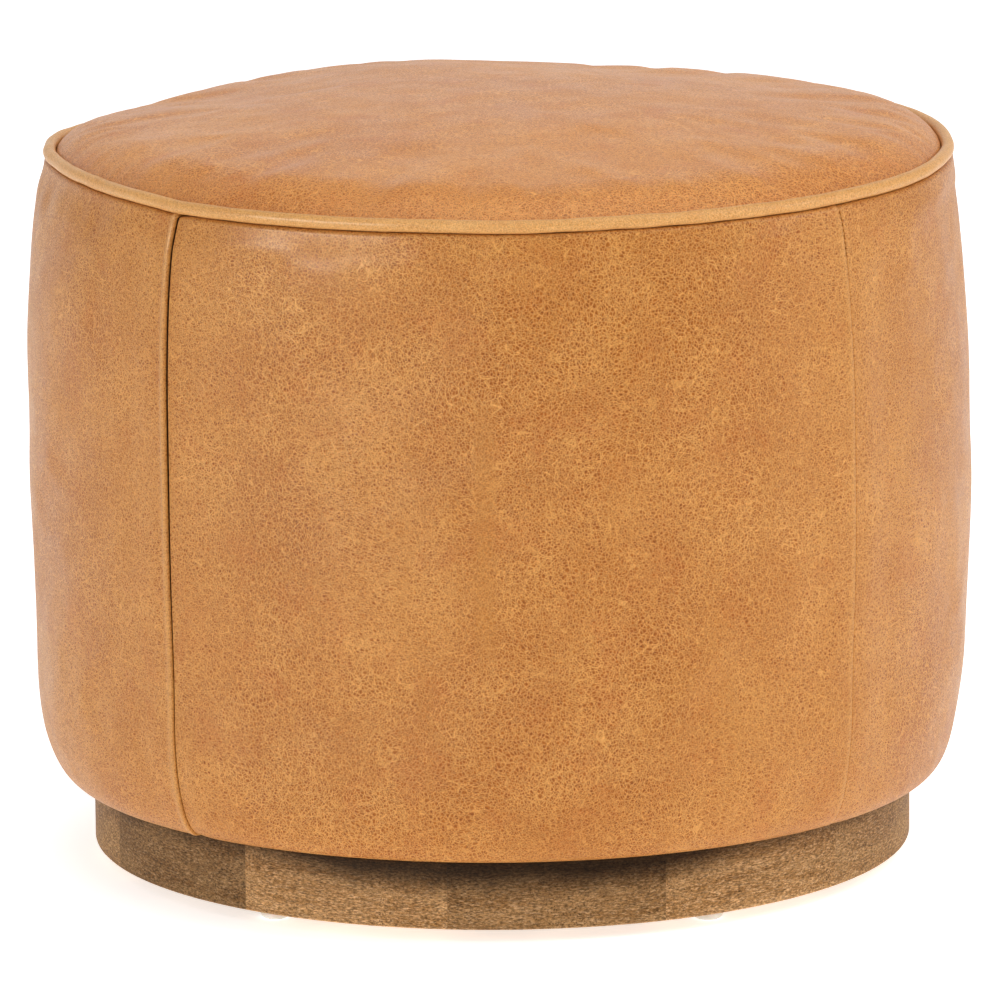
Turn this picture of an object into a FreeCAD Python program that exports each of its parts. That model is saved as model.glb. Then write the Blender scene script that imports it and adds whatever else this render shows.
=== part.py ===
"""Round leather pouf: a drum of sewn leather over foam, on a recessed ring plinth of wood blocks.

Millimetres, +Z up. The origin is on the floor under the middle of the pouf. The front faces -Y.
Azimuths are in degrees: 0 is the front (-Y) and 90 is the right-hand side (+X).
"""
import FreeCAD, Part
import math
import os

# Driving dimensions
BODY_R = 292.0            # leather at its widest
CURVE_START_Z = 312.0     # above this height the wall leans in
CURVE_R = 814.0           # radius of the leaning stretch
BOTTOM_ROUND = (23.0, 78.0)   # lower edge: how far in, how far up
SEAT_CROWN_DEG = (8.0, 50.0)  # slope where the cap meets the shoulder, and at the welt
SHOULDER_R = 54.0
WELT_R, WELT_Z = 279.5, 440.0     # centre line of the welt
WELT_TUBE_R = 4.0

LEATHER = 1.3
GAP = 0.1                 # between neighbouring layers
SIDE_WADDING, TOP_WADDING = 5.0, 8.0

GLIDE_H = 8.0
PLINTH_R, PLINTH_WALL, PLINTH_H = 256.0, 45.0, 45.0
DUST_COVER, DUST_COVER_R = 0.5, 240.0

PANELS = ("right", "back", "left", "front")   # anticlockwise from the first seam
FIRST_SEAM, SEAM_GAP = 47.0, 0.8
SEGMENTS, FIRST_JOINT, GLUE_LINE = 12, 22.5, 0.1
CLEATS = 6
GLIDES, FIRST_GLIDE, GLIDE_STEP, GLIDE_PITCH_R = 5, 32.1, 72.9, 233.5    # front pair a little closer
POSTS, FIRST_POST = 8, 0.0

# Worked out from them
PLINTH_TOP = GLIDE_H + PLINTH_H
HEM_Z = PLINTH_TOP + DUST_COVER       # underside of the turned-in leather
DECK_Z = HEM_Z + LEATHER
DECK_T, FRAME_R = 15.0, 261.8
RING_TOP, RING_T, RING_INNER_R = 397.0, 15.0, 205.0
LINER_R, LINER_T = 262.0, 3.0
SLAB_Z, SLAB_R = 401.0, 276.0         # firm foam slab on top of the frame
FLANGE_TOP = WELT_Z - WELT_TUBE_R - 0.2      # top of the side panels' sewing allowance
FLANGE_INNER_R = 262.0
WELT_TAILS = (WELT_Z - WELT_TUBE_R, FLANGE_TOP + 1.3)    # the welt strip's two tails, bottom and top
LIP_Z = FLANGE_TOP + 1.4              # underside of the top panel's sewing allowance
LIP_R = WELT_R - WELT_TUBE_R - 0.2
SLAB_TOP = FLANGE_TOP - LEATHER - 1.0
SEAM_STITCH_R = 268.0
HEM_INNER_R = 205.0
CLEAT_R, CLEAT_DEG, CLEAT_Z = 186.0, 13.0, 17.0
CLEAT_SCREW_R = 198.5
THREAD_R = 0.35

UP = FreeCAD.Vector(0, 0, 1)
CENTRE = FreeCAD.Vector(0, 0, 0)


def rz(r, z):
    """A point of a profile: radius r and height z, in the XZ plane."""
    return FreeCAD.Vector(r, 0, z)


def line(*points):
    """Straight edges through profile points."""
    return [Part.LineSegment(a, b).toShape() for a, b in zip(points, points[1:])]


def arc(centre, radius, start_deg, end_deg):
    """Arc of a profile about centre. Angles are from straight up, clockwise."""
    spots = [math.radians(a) for a in (start_deg, (start_deg + end_deg) / 2, end_deg)]
    points = [centre + rz(radius * math.sin(a), radius * math.cos(a)) for a in spots]
    return Part.Arc(*points).toShape()


def ends(edges):
    """First and last point of a run of edges."""
    return edges[0].firstVertex(True).Point, edges[-1].lastVertex(True).Point


def turned(edges, start_deg=None, sweep_deg=360.0):
    """Closes a profile with a straight edge if it is open, and turns it about Z from start_deg."""
    first, last = ends(edges)
    if first.distanceToPoint(last) > 1e-6:
        edges = edges + line(last, first)
    solid = Part.Face(Part.Wire(edges)).revolve(CENTRE, UP, sweep_deg)
    if start_deg is not None:
        solid.rotate(CENTRE, UP, start_deg - 90)
    return solid


def ring(inner, outer, low, high):
    """A flat ring, or a disc when inner is 0."""
    solid = Part.makeCylinder(outer, high - low, rz(0, low))
    return solid.cut(Part.makeCylinder(inner, high - low + 2, rz(0, low - 1))) if inner else solid


def placed(solid, azimuth):
    """A copy of a solid drawn along +X, turned to an azimuth."""
    copy = solid.copy()
    copy.rotate(CENTRE, UP, azimuth - 90)
    return copy


def around(solid, count, first, step=None):
    """Copies of a solid drawn along +X, spaced about Z by step or evenly."""
    return [placed(solid, first + i * (step or 360 / count)) for i in range(count)]


# Curves of the upholstered wall and of the seat

def wall_radius(z, inset=0.0):
    """Radius of the wall at height z, where it leans in."""
    return BODY_R - CURVE_R + math.sqrt((CURVE_R - inset) ** 2 - (z - CURVE_START_Z) ** 2)


def wall_curve(inset, top_z):
    """The wall from its underside up to top_z, moved inwards by inset."""
    round_in, round_up = BOTTOM_ROUND
    centre_r, centre_z = BODY_R - round_in, HEM_Z + round_up
    a, b = round_in - inset, round_up - inset
    ellipse = Part.Ellipse(rz(centre_r, centre_z - b), rz(centre_r + a, centre_z), rz(centre_r, centre_z))
    lower = Part.ArcOfEllipse(ellipse, 0, math.pi / 2).toShape()
    straight = line(rz(BODY_R - inset, centre_z), rz(BODY_R - inset, CURVE_START_Z))
    middle_z = (CURVE_START_Z + top_z) / 2
    upper = Part.Arc(
        rz(BODY_R - inset, CURVE_START_Z),
        rz(wall_radius(middle_z, inset), middle_z),
        rz(wall_radius(top_z, inset), top_z),
    ).toShape()
    return [lower] + straight + [upper]


def seat_centres():
    """Centre of the shoulder arc, centre and radius of the cap arc that it meets tangentially."""
    cap_deg, edge_deg = (math.radians(a) for a in SEAT_CROWN_DEG)
    edge = rz(LIP_R - 0.6, WELT_Z + 1)
    shoulder = edge - rz(SHOULDER_R * math.sin(edge_deg), SHOULDER_R * math.cos(edge_deg))
    cap_r = SHOULDER_R + shoulder.x / math.sin(cap_deg)
    return shoulder, rz(0, shoulder.z - (cap_r - SHOULDER_R) * math.cos(cap_deg)), cap_r


def seat_curve(inset):
    """The seat from the middle out to the welt, moved inwards by inset."""
    shoulder, cap, cap_r = seat_centres()
    return [
        arc(cap, cap_r - inset, 0, SEAT_CROWN_DEG[0]),
        arc(shoulder, SHOULDER_R - inset, *SEAT_CROWN_DEG),
    ]


def seam_zone():
    """The room that the sewing allowances and their thread take between the seat and the wall."""
    margin = LEATHER + 2 * THREAD_R + GAP
    return ring(FLANGE_INNER_R - 0.5, BODY_R, FLANGE_TOP - margin, LIP_Z + margin)


# Leather cover

def side_panel(index):
    """A quarter of the wall, its top allowance turned in under the welt and its hem under the deck."""
    turn = 3.0
    turn_z = FLANGE_TOP - turn
    outer = wall_curve(0, turn_z)
    top_r = ends(outer)[1].x
    corner = Part.Arc(
        rz(top_r, turn_z),
        rz(top_r - turn * (1 - math.cos(math.pi / 4)), FLANGE_TOP - turn * (1 - math.sin(math.pi / 4))),
        rz(top_r - turn, FLANGE_TOP),
    ).toShape()
    inner = wall_curve(LEATHER, FLANGE_TOP - LEATHER)
    inner_top = ends(inner)[1]
    back = [edge.reversed() for edge in reversed(inner)]
    profile = (
        line(rz(HEM_INNER_R, HEM_Z), ends(outer)[0])
        + outer
        + [corner]
        + line(
            rz(top_r - turn, FLANGE_TOP),
            rz(FLANGE_INNER_R, FLANGE_TOP),
            rz(FLANGE_INNER_R, FLANGE_TOP - LEATHER),
            inner_top,
        )
        + back
        + line(ends(inner)[0], rz(HEM_INNER_R, DECK_Z))
    )
    gap_deg = math.degrees(SEAM_GAP / BODY_R)
    step = 360 / len(PANELS)
    start = FIRST_SEAM + index * step + gap_deg / 2
    return turned(profile, start, step - gap_deg).cut(hem_staples())


def top_panel():
    """The seat panel, whose edge turns down beside the welt and in along the seam."""
    outer, inner = seat_curve(0), seat_curve(LEATHER)
    back = [edge.reversed() for edge in reversed(inner)]
    profile = (
        outer
        + line(
            ends(outer)[1],
            rz(LIP_R, WELT_Z - 1),
            rz(LIP_R, LIP_Z),
            rz(FLANGE_INNER_R, LIP_Z),
            rz(FLANGE_INNER_R, LIP_Z + LEATHER),
            rz(LIP_R - LEATHER, LIP_Z + LEATHER),
            ends(inner)[1],
        )
        + back
    )
    return turned(profile)


def welt_cover():
    """The leather strip of the welt, folded round its cord, with its two tails together in the seam."""
    centre = rz(WELT_R, WELT_Z)
    low, high = WELT_TAILS
    middle = (low + high) / 2
    mouth = WELT_R - 2.5
    tail_deg = math.degrees(math.acos((high - WELT_Z) / WELT_TUBE_R))
    outside = [arc(centre, WELT_TUBE_R, -tail_deg, 180)]
    inside = [arc(centre, WELT_TUBE_R - LEATHER, 190, -160)]
    profile = (
        line(rz(FLANGE_INNER_R, high), ends(outside)[0])
        + outside
        + line(
            ends(outside)[1],
            rz(FLANGE_INNER_R, low),
            rz(FLANGE_INNER_R, middle - GAP / 2),
            rz(mouth, middle - GAP / 2),
            ends(inside)[0],
        )
        + inside
        + line(ends(inside)[1], rz(mouth, middle + GAP / 2), rz(FLANGE_INNER_R, middle + GAP / 2))
    )
    return turned(profile)


def welt_cord():
    return Part.makeTorus(WELT_R, WELT_TUBE_R - LEATHER - 0.05, rz(0, WELT_Z))


def side_seam_thread():
    """The thread in each upright seam, just under the leather's face."""
    spine = Part.Wire(wall_curve(LEATHER / 2, FLANGE_TOP - LEATHER))
    foot = ends(spine.Edges)[0]
    section = Part.Wire([Part.makeCircle(THREAD_R, foot, FreeCAD.Vector(1, 0, 0))])
    thread = spine.makePipeShell([section], True, True)
    return around(thread, len(PANELS), FIRST_SEAM)


def welt_seam_thread():
    """Needle thread over the welt seam and bobbin thread under it."""
    over = LIP_Z + LEATHER + THREAD_R
    under = FLANGE_TOP - LEATHER - THREAD_R
    return [Part.makeTorus(SEAM_STITCH_R, THREAD_R, rz(0, z)) for z in (over, under)]


# Padding

def side_wadding():
    outer = wall_curve(LEATHER + GAP, SLAB_TOP)
    inner = wall_curve(LEATHER + GAP + SIDE_WADDING, SLAB_TOP)
    foot_r = LINER_R + LINER_T + GAP
    back = [edge.reversed() for edge in reversed(inner)]
    low_out, low_in = ends(outer)[0], ends(inner)[0]
    profile = (
        line(rz(foot_r, low_out.z), low_out)
        + outer
        + line(ends(outer)[1], ends(inner)[1])
        + back
        + line(low_in, rz(foot_r, low_in.z))
    )
    return turned(profile)


def side_foam():
    """Sheet foam wrapped round the frame, rounded over at its foot."""
    outer = wall_curve(LEATHER + SIDE_WADDING + 2 * GAP, SLAB_Z - GAP)
    foot_r = LINER_R + LINER_T + GAP
    low, high = ends(outer)
    return turned(line(rz(foot_r, low.z), low) + outer + line(high, rz(foot_r, high.z)))


def top_foam_slab():
    return ring(0, SLAB_R, SLAB_Z, SLAB_TOP)


def top_foam_crown():
    """The domed soft foam, cut back round its edge for the sewing allowances."""
    inset = LEATHER + TOP_WADDING + 2 * GAP
    base_z = SLAB_TOP + GAP
    curve = seat_curve(inset)
    edge = ends(curve)[1]
    profile = curve + line(edge, rz(edge.x, base_z), rz(0, base_z), ends(curve)[0])
    return turned(profile).cut(seam_zone())


def top_wadding():
    outer = seat_curve(LEATHER + GAP)
    inner = seat_curve(LEATHER + GAP + TOP_WADDING)
    back = [edge.reversed() for edge in reversed(inner)]
    profile = outer + line(ends(outer)[1], ends(inner)[1]) + back
    return turned(profile).cut(seam_zone())


# Frame

STRAP_W, STRAP_T, STRAP_PITCH, STRAPS = 50.0, 1.4, 75.0, 5
STRAP_LEVELS = (RING_TOP + 0.05, RING_TOP + 0.05 + STRAP_T + GAP)


def strap_half_length(offset):
    """How far a strap runs from the middle before its corners reach the frame's edge."""
    return math.sqrt((FRAME_R - 6) ** 2 - (abs(offset) + STRAP_W / 2) ** 2)


def strap_positions():
    return [(i - (STRAPS - 1) / 2) * STRAP_PITCH for i in range(STRAPS)]


def straps(first_level):
    """Straps along X. They start at first_level, low or high, and go over and under the other set."""
    made = []
    for row, offset in enumerate(strap_positions()):
        half = strap_half_length(offset)
        low = []
        for column, crossing in enumerate(strap_positions()):
            z = STRAP_LEVELS[(row + column + first_level) % 2]
            low += [(crossing - STRAP_W / 2, z), (crossing + STRAP_W / 2, z)]
        low = [(-half, low[0][1])] + low[1:-1] + [(half, low[-1][1])]
        outline = [rz(x, z) for x, z in low] + [rz(x, z + STRAP_T) for x, z in reversed(low)]
        face = Part.Face(Part.Wire(line(*outline, outline[0])))
        made.append(face.extrude(FreeCAD.Vector(0, STRAP_W, 0)))
        made[-1].translate(FreeCAD.Vector(0, offset - STRAP_W / 2, 0))
    return made


def turn_quarter(solids):
    for solid in solids:
        solid.rotate(CENTRE, UP, 90)
    return solids


def webbing_across():
    return [strap.cut(Part.makeCompound(strap_staples(0))) for strap in straps(0)]


def webbing_lengthwise():
    return turn_quarter([strap.cut(Part.makeCompound(strap_staples(1))) for strap in straps(1)])


def webbing_lining():
    return ring(0, 250.0, SLAB_Z - 0.4, SLAB_Z - GAP)


def top_ring():
    solid = ring(RING_INNER_R, FRAME_R, RING_TOP - RING_T, RING_TOP)
    return solid.cut(Part.makeCompound(top_ring_screws() + webbing_staples()))


def bottom_deck():
    solid = ring(0, FRAME_R, DECK_Z, DECK_Z + DECK_T)
    tools = deck_screws() + plinth_screws() + hem_staples() + dust_cover_staples()
    return solid.cut(Part.makeCompound(tools))


POST_R, POST_DEPTH, POST_WIDTH = 220.0, 40.0, 30.0


def frame_post(index):
    height = RING_TOP - RING_T - DECK_Z - DECK_T
    block = Part.makeBox(POST_DEPTH, POST_WIDTH, height, FreeCAD.Vector(POST_R, -POST_WIDTH / 2, DECK_Z + DECK_T))
    block = placed(block, FIRST_POST + (index - 1) * 360 / POSTS)
    return block.cut(Part.makeCompound(top_ring_screws() + deck_screws()))


def wall_liner():
    """Hardboard bent round the frame, butted at the back."""
    butt_gap_deg = 0.3
    profile = line(
        rz(LINER_R, DECK_Z), rz(LINER_R + LINER_T, DECK_Z),
        rz(LINER_R + LINER_T, SLAB_Z - GAP), rz(LINER_R, SLAB_Z - GAP),
    )
    return turned(profile, 180 + butt_gap_deg / 2, 360 - butt_gap_deg)


# Plinth

def plinth_segment(index):
    """A sawn block of the plinth ring, its outer edges eased."""
    ease = 1.5
    inner = PLINTH_R - PLINTH_WALL
    profile = line(rz(inner, GLIDE_H), rz(PLINTH_R - ease, GLIDE_H))
    profile.append(arc(rz(PLINTH_R - ease, GLIDE_H + ease), ease, 180, 90))
    profile += line(rz(PLINTH_R, GLIDE_H + ease), rz(PLINTH_R, PLINTH_TOP - ease))
    profile.append(arc(rz(PLINTH_R - ease, PLINTH_TOP - ease), ease, 90, 0))
    profile += line(rz(PLINTH_R - ease, PLINTH_TOP), rz(inner, PLINTH_TOP))
    gap_deg = math.degrees(GLUE_LINE / PLINTH_R)
    step = 360 / SEGMENTS
    start = FIRST_JOINT + (index - 1) * step + gap_deg / 2
    return turned(profile, start, step - gap_deg).cut(Part.makeCompound(glide_nails()))


def plinth_cleat(index):
    """A glue block inside the ring, over every second joint."""
    inner, outer = CLEAT_R, PLINTH_R - PLINTH_WALL - 0.05
    profile = line(rz(inner, CLEAT_Z), rz(outer, CLEAT_Z), rz(outer, PLINTH_TOP), rz(inner, PLINTH_TOP))
    start = FIRST_JOINT + (index - 1) * 360 / CLEATS - CLEAT_DEG / 2
    return turned(profile, start, CLEAT_DEG).cut(Part.makeCompound(plinth_screws()))


GLIDE_R, GLIDE_FOOT_R = 9.5, 6.5
NAIL_HEAD_Z = 3.0


def glide(index):
    """A plastic glide with a rounded foot, moulded about the head of its nail."""
    rise = 4.5
    profile = line(rz(0, 0), rz(GLIDE_FOOT_R, 0))
    shoulder = rz(GLIDE_FOOT_R + 2.2, 1.4)
    profile.append(Part.Arc(rz(GLIDE_FOOT_R, 0), shoulder, rz(GLIDE_R, rise)).toShape())
    profile += line(rz(GLIDE_R, rise), rz(GLIDE_R, GLIDE_H), rz(0, GLIDE_H), rz(0, 0))
    button = turned(profile)
    button.translate(rz(GLIDE_PITCH_R, 0))
    button = placed(button, FIRST_GLIDE + (index - 1) * GLIDE_STEP)
    return button.cut(Part.makeCompound(glide_nails()))


# Coverings and fasteners

def dust_cover():
    solid = ring(0, DUST_COVER_R, PLINTH_TOP, HEM_Z)
    return solid.cut(Part.makeCompound(plinth_screws() + dust_cover_staples()))


def glide_nails():
    shank = Part.makeCylinder(1.2, 20.0, rz(GLIDE_PITCH_R, NAIL_HEAD_Z))
    head = Part.makeCylinder(4.0, 1.0, rz(GLIDE_PITCH_R, NAIL_HEAD_Z))
    return around(shank.fuse(head).removeSplitter(), GLIDES, FIRST_GLIDE, GLIDE_STEP)


def wood_screw(r, head_z, length, points_up):
    """A countersunk screw at radius r, its head flush at head_z."""
    shank_r, head_r, head_h = 2.1, 4.2, 2.6
    way = 1 if points_up else -1
    direction = FreeCAD.Vector(0, 0, way)
    head = Part.makeCone(head_r, shank_r, head_h, rz(r, head_z), direction)
    shank = Part.makeCylinder(shank_r, length - head_h - 5, rz(r, head_z + way * head_h), direction)
    tip = Part.makeCone(shank_r, 0.4, 5, rz(r, head_z + way * (length - 5)), direction)
    return head.fuse([shank, tip]).removeSplitter()


def top_ring_screws():
    return around(wood_screw(POST_R + POST_DEPTH / 2, RING_TOP, 45, False), POSTS, FIRST_POST)


def deck_screws():
    return around(wood_screw(POST_R + POST_DEPTH / 2, DECK_Z, 45, True), POSTS, FIRST_POST)


def plinth_screws():
    """Screws up through the cleats into the deck."""
    return around(wood_screw(CLEAT_SCREW_R, CLEAT_Z, 50, True), CLEATS, FIRST_JOINT)


def staple(x, z, leg, points_up):
    """A staple at (x, 0) with its crown along Y, flat on the side of z that its legs point away from."""
    crown, wire_w, wire_t = 10.0, 1.2, 0.6
    back = z - wire_t if points_up else z
    bar = Part.makeBox(wire_w, crown, wire_t, FreeCAD.Vector(x - wire_w / 2, -crown / 2, back))
    foot = z - wire_t if points_up else z - leg
    legs = [
        Part.makeBox(wire_w, wire_t, leg + wire_t, FreeCAD.Vector(x - wire_w / 2, y, foot))
        for y in (-crown / 2, crown / 2 - wire_t)
    ]
    return bar.fuse(legs).removeSplitter()


def hem_staples():
    """Staples that hold the hem up to the deck, sunk flush in the leather."""
    count, radius = 40, 226.0
    return around(staple(radius, HEM_Z + 0.6, 9.0, True), count, 2.0)


def dust_cover_staples():
    count, radius = 20, 176.0
    return around(staple(radius, PLINTH_TOP, 8.0, True), count, 2.0)


def strap_staples(first_level):
    """Two staples at each end of each strap along X."""
    made = []
    spread = 24.0
    for row, offset in enumerate(strap_positions()):
        for side, column in ((-1, 0), (1, STRAPS - 1)):
            z = STRAP_LEVELS[(row + column + first_level) % 2] + STRAP_T
            for aside in (-spread / 2, spread / 2):
                pin = staple(side * (strap_half_length(offset) - 5), z, 9.0, False)
                pin.translate(FreeCAD.Vector(0, offset + aside, 0))
                made.append(pin)
    return made


def webbing_staples():
    return strap_staples(0) + turn_quarter(strap_staples(1))


def numbered(name, make, count):
    """Nodes NAME_1 and so on, or NAME_01 where there are ten or more."""
    width = len(str(count))
    return {f"{name}_{i:0{width}d}": make(i) for i in range(1, count + 1)}


def build():
    """Every node by name, each one solid or a list of solids."""
    nodes = {
        "top_panel": top_panel(),
        "welt_cover": welt_cover(),
        "welt_cord": welt_cord(),
        "side_seam_thread": side_seam_thread(),
        "welt_seam_thread": welt_seam_thread(),
        "side_wadding": side_wadding(),
        "side_foam": side_foam(),
        "top_wadding": top_wadding(),
        "top_foam_crown": top_foam_crown(),
        "top_foam_slab": top_foam_slab(),
        "webbing_lining": webbing_lining(),
        "webbing_straps_across": webbing_across(),
        "webbing_straps_lengthwise": webbing_lengthwise(),
        "webbing_staples": webbing_staples(),
        "top_ring": top_ring(),
        "bottom_deck": bottom_deck(),
        "wall_liner": wall_liner(),
        "top_ring_screws": top_ring_screws(),
        "deck_screws": deck_screws(),
        "plinth_screws": plinth_screws(),
        "dust_cover": dust_cover(),
        "dust_cover_staples": dust_cover_staples(),
        "hem_staples": hem_staples(),
        "glide_nails": glide_nails(),
    }
    nodes.update({f"side_panel_{side}": side_panel(i) for i, side in enumerate(PANELS)})
    nodes.update(numbered("frame_post", frame_post, POSTS))
    nodes.update(numbered("plinth_segment", plinth_segment, SEGMENTS))
    nodes.update(numbered("plinth_cleat", plinth_cleat, CLEATS))
    nodes.update(numbered("glide", glide, GLIDES))
    return nodes


def main():
    os.makedirs("parts", exist_ok=True)
    for name, shape in build().items():
        if isinstance(shape, list):
            shape = Part.makeCompound(shape)
        solids = shape.Solids
        if not solids or not all(s.isValid() and s.Volume > 0 for s in solids):
            raise SystemExit(f"{name} isn't made of closed solids")
        (solids[0] if len(solids) == 1 else Part.makeCompound(solids)).exportStep(f"parts/{name}.step")
        print(f"{name}: {len(solids)} solids, {sum(s.Volume for s in solids) / 1000:.2f} cm3")


main()
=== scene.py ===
"""Looks of a round leather ottoman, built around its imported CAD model. Metres, +Z up, front facing -Y."""
import math
from functools import partialmethod

import bmesh
import bpy
import numpy as np
from mathutils import Matrix, Vector
from mathutils.bvhtree import BVHTree


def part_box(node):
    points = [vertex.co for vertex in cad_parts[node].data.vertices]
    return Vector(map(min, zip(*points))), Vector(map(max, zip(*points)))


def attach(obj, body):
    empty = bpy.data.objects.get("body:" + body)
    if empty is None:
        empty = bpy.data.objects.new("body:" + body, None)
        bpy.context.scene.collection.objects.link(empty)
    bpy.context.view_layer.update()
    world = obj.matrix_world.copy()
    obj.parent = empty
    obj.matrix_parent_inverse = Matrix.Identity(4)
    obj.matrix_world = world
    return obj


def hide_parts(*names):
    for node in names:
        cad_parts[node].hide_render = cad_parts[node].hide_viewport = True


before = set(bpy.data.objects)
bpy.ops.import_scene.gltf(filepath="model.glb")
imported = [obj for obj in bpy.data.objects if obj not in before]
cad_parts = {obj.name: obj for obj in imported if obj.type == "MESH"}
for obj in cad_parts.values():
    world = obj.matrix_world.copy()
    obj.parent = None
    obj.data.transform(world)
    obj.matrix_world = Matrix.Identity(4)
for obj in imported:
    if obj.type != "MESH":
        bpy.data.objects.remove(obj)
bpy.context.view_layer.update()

MM = 0.001

# Places read from the frame
WELT_LOW, WELT_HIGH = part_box("welt_cover")
WELT_TUBE = (WELT_HIGH.z - WELT_LOW.z) / 2
WELT_Z = (WELT_HIGH.z + WELT_LOW.z) / 2
WELT_R = WELT_HIGH.x - WELT_TUBE
WALL_LOW, WALL_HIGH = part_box("side_panel_front")
BODY_R = -WALL_LOW.y
HEM_Z, WALL_TOP = WALL_LOW.z, WALL_HIGH.z
SEAT_LOW, SEAT_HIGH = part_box("top_panel")
LIP_R, LIP_Z = SEAT_HIGH.x, SEAT_LOW.z
SLAB_LOW, SLAB_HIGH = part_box("top_foam_slab")
LINER_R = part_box("wall_liner")[1].x

# Shape of the cover, as in the CAD model
ROUND_IN, ROUND_UP = 23 * MM, 78 * MM     # lower edge: how far in, how far up
CURVE_START_Z, CURVE_R = 312 * MM, 814 * MM
CAP_DEG, SHOULDER_DEG, SHOULDER_R = 8.0, 50.0, 54 * MM
LEATHER = 1.2 * MM
TURN_IN_R = 262 * MM                      # how far in the sewing allowances of the welt seam go
HEM_INNER_R = 207 * MM
SEAMS = (47.0, 137.0, 227.0, 317.0)       # azimuths of the upright seams, 0 at the front
PANELS = ("right", "back", "left", "front")
FOLD_MARK_DEG = -1.8                      # azimuth of the front panel's pale fold mark; the others a quarter on


# Small tools

def smooth(x, low, high):
    """0 below low, 1 above high, eased between."""
    t = np.clip((np.asarray(x, float) - low) / (high - low), 0, 1)
    return t * t * (3 - 2 * t)


def hump(distance, width):
    """1 at no distance, falling smoothly away."""
    return np.exp(-((distance / width) ** 2))


def ring(count):
    """Azimuths all the way round, evenly spaced."""
    return np.arange(count) * 2 * math.pi / count


def turned_from(azimuth, phi):
    """The angle from azimuth to phi, the short way round."""
    return (phi - azimuth + math.pi) % (2 * math.pi) - math.pi


def from_seams(phi):
    """Distance along the wall from the nearest upright seam."""
    return np.min([np.abs(turned_from(math.radians(azimuth), phi)) for azimuth in SEAMS], axis=0) * BODY_R


def polar(radius, phi, z):
    """Points at azimuth phi, 0 at the front and growing towards the right."""
    radius, phi, z = np.broadcast_arrays(radius, phi, z)
    return np.stack([radius * np.sin(phi), -radius * np.cos(phi), z], -1)


def mesh_piece(name, points, faces, node=None, slot=None, material=None):
    """A mesh object from arrays, which rides on the part's one body and stands for a CAD node."""
    mesh = bpy.data.meshes.new(name)
    points = np.asarray(points, np.float32).reshape(-1, 3)
    faces = [np.asarray(f, np.int32) for f in faces]
    sizes = np.concatenate([np.full(len(f), f.shape[1], np.int32) for f in faces])
    corners = np.concatenate([f.ravel() for f in faces])
    mesh.vertices.add(len(points))
    mesh.vertices.foreach_set("co", points.ravel())
    mesh.loops.add(len(corners))
    mesh.loops.foreach_set("vertex_index", corners)
    mesh.polygons.add(len(sizes))
    loop_starts = np.concatenate([[0], np.cumsum(sizes)[:-1]])
    mesh.polygons.foreach_set("loop_start", loop_starts.astype(np.int32))
    mesh.update(calc_edges=True)
    mesh.validate()
    mesh.polygons.foreach_set("use_smooth", np.ones(len(mesh.polygons), bool))
    piece = bpy.data.objects.new(name, mesh)
    bpy.context.scene.collection.objects.link(piece)
    if material:
        mesh.materials.append(material)
    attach(piece, "root")
    if node:
        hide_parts(node)
    return piece


def quads(rows, columns, wrap_rows=False, wrap_columns=False):
    """Faces of a grid of points numbered row by row."""
    r = np.arange(rows if wrap_rows else rows - 1)
    c = np.arange(columns if wrap_columns else columns - 1)
    r, c = (a.ravel() for a in np.meshgrid(r, c, indexing="ij"))
    r1, c1 = (r + 1) % rows, (c + 1) % columns
    return np.stack([r * columns + c, r * columns + c1, r1 * columns + c1, r1 * columns + c], 1)


def closed_rings(points, first=None, last=None):
    """Points and faces of rings round the axis, closed by a point on it, at a height, before or after them."""
    rows, sectors = points.shape[:2]
    here = np.arange(sectors)
    following = (here + 1) % sectors
    faces, tips = [quads(rows, sectors, wrap_columns=True)], []
    for height, row, a, b in ((first, 0, following, here), (last, rows - 1, here, following)):
        if height is not None:
            tip = np.full(sectors, rows * sectors + len(tips))
            faces.append(np.stack([tip, row * sectors + a, row * sectors + b], 1))
            tips.append([0, 0, height])
    return np.concatenate([points.reshape(-1, 3), tips]), faces


def thicken(piece, thickness):
    """Gives a skin its thickness on the inner side."""
    solid = piece.modifiers.new("thickness", "SOLIDIFY")
    solid.thickness = thickness
    solid.offset = -1
    solid.use_even_offset = False
    return piece


def ripples(seed, count, around, along, amplitude):
    """A smooth field of a few waves over azimuth and height, the same at each run."""
    rng = np.random.default_rng(seed)
    turns = rng.integers(around[0], around[1] + 1, count)
    rises = rng.uniform(along[0], along[1], count) * rng.choice((-1, 1), count)
    phases = rng.uniform(0, 2 * math.pi, count)

    def field(phi, height):
        total = 0
        for turn, rise, phase in zip(turns, rises, phases):
            total = total + np.cos(turn * phi + 2 * math.pi * height * rise + phase)
        return total * amplitude / math.sqrt(count)

    return field


# Profiles of the cover, as (radius, height) runs

def seat_arcs():
    """Centres and radii of the shoulder arc and of the cap arc that it meets tangentially."""
    cap, shoulder = math.radians(CAP_DEG), math.radians(SHOULDER_DEG)
    edge_r, edge_z = LIP_R - 0.6 * MM, WELT_Z + 1 * MM
    shoulder_r = edge_r - SHOULDER_R * math.sin(shoulder)
    shoulder_z = edge_z - SHOULDER_R * math.cos(shoulder)
    cap_radius = SHOULDER_R + shoulder_r / math.sin(cap)
    return shoulder_r, shoulder_z, cap_radius, shoulder_z - (cap_radius - SHOULDER_R) * math.cos(cap)


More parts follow.
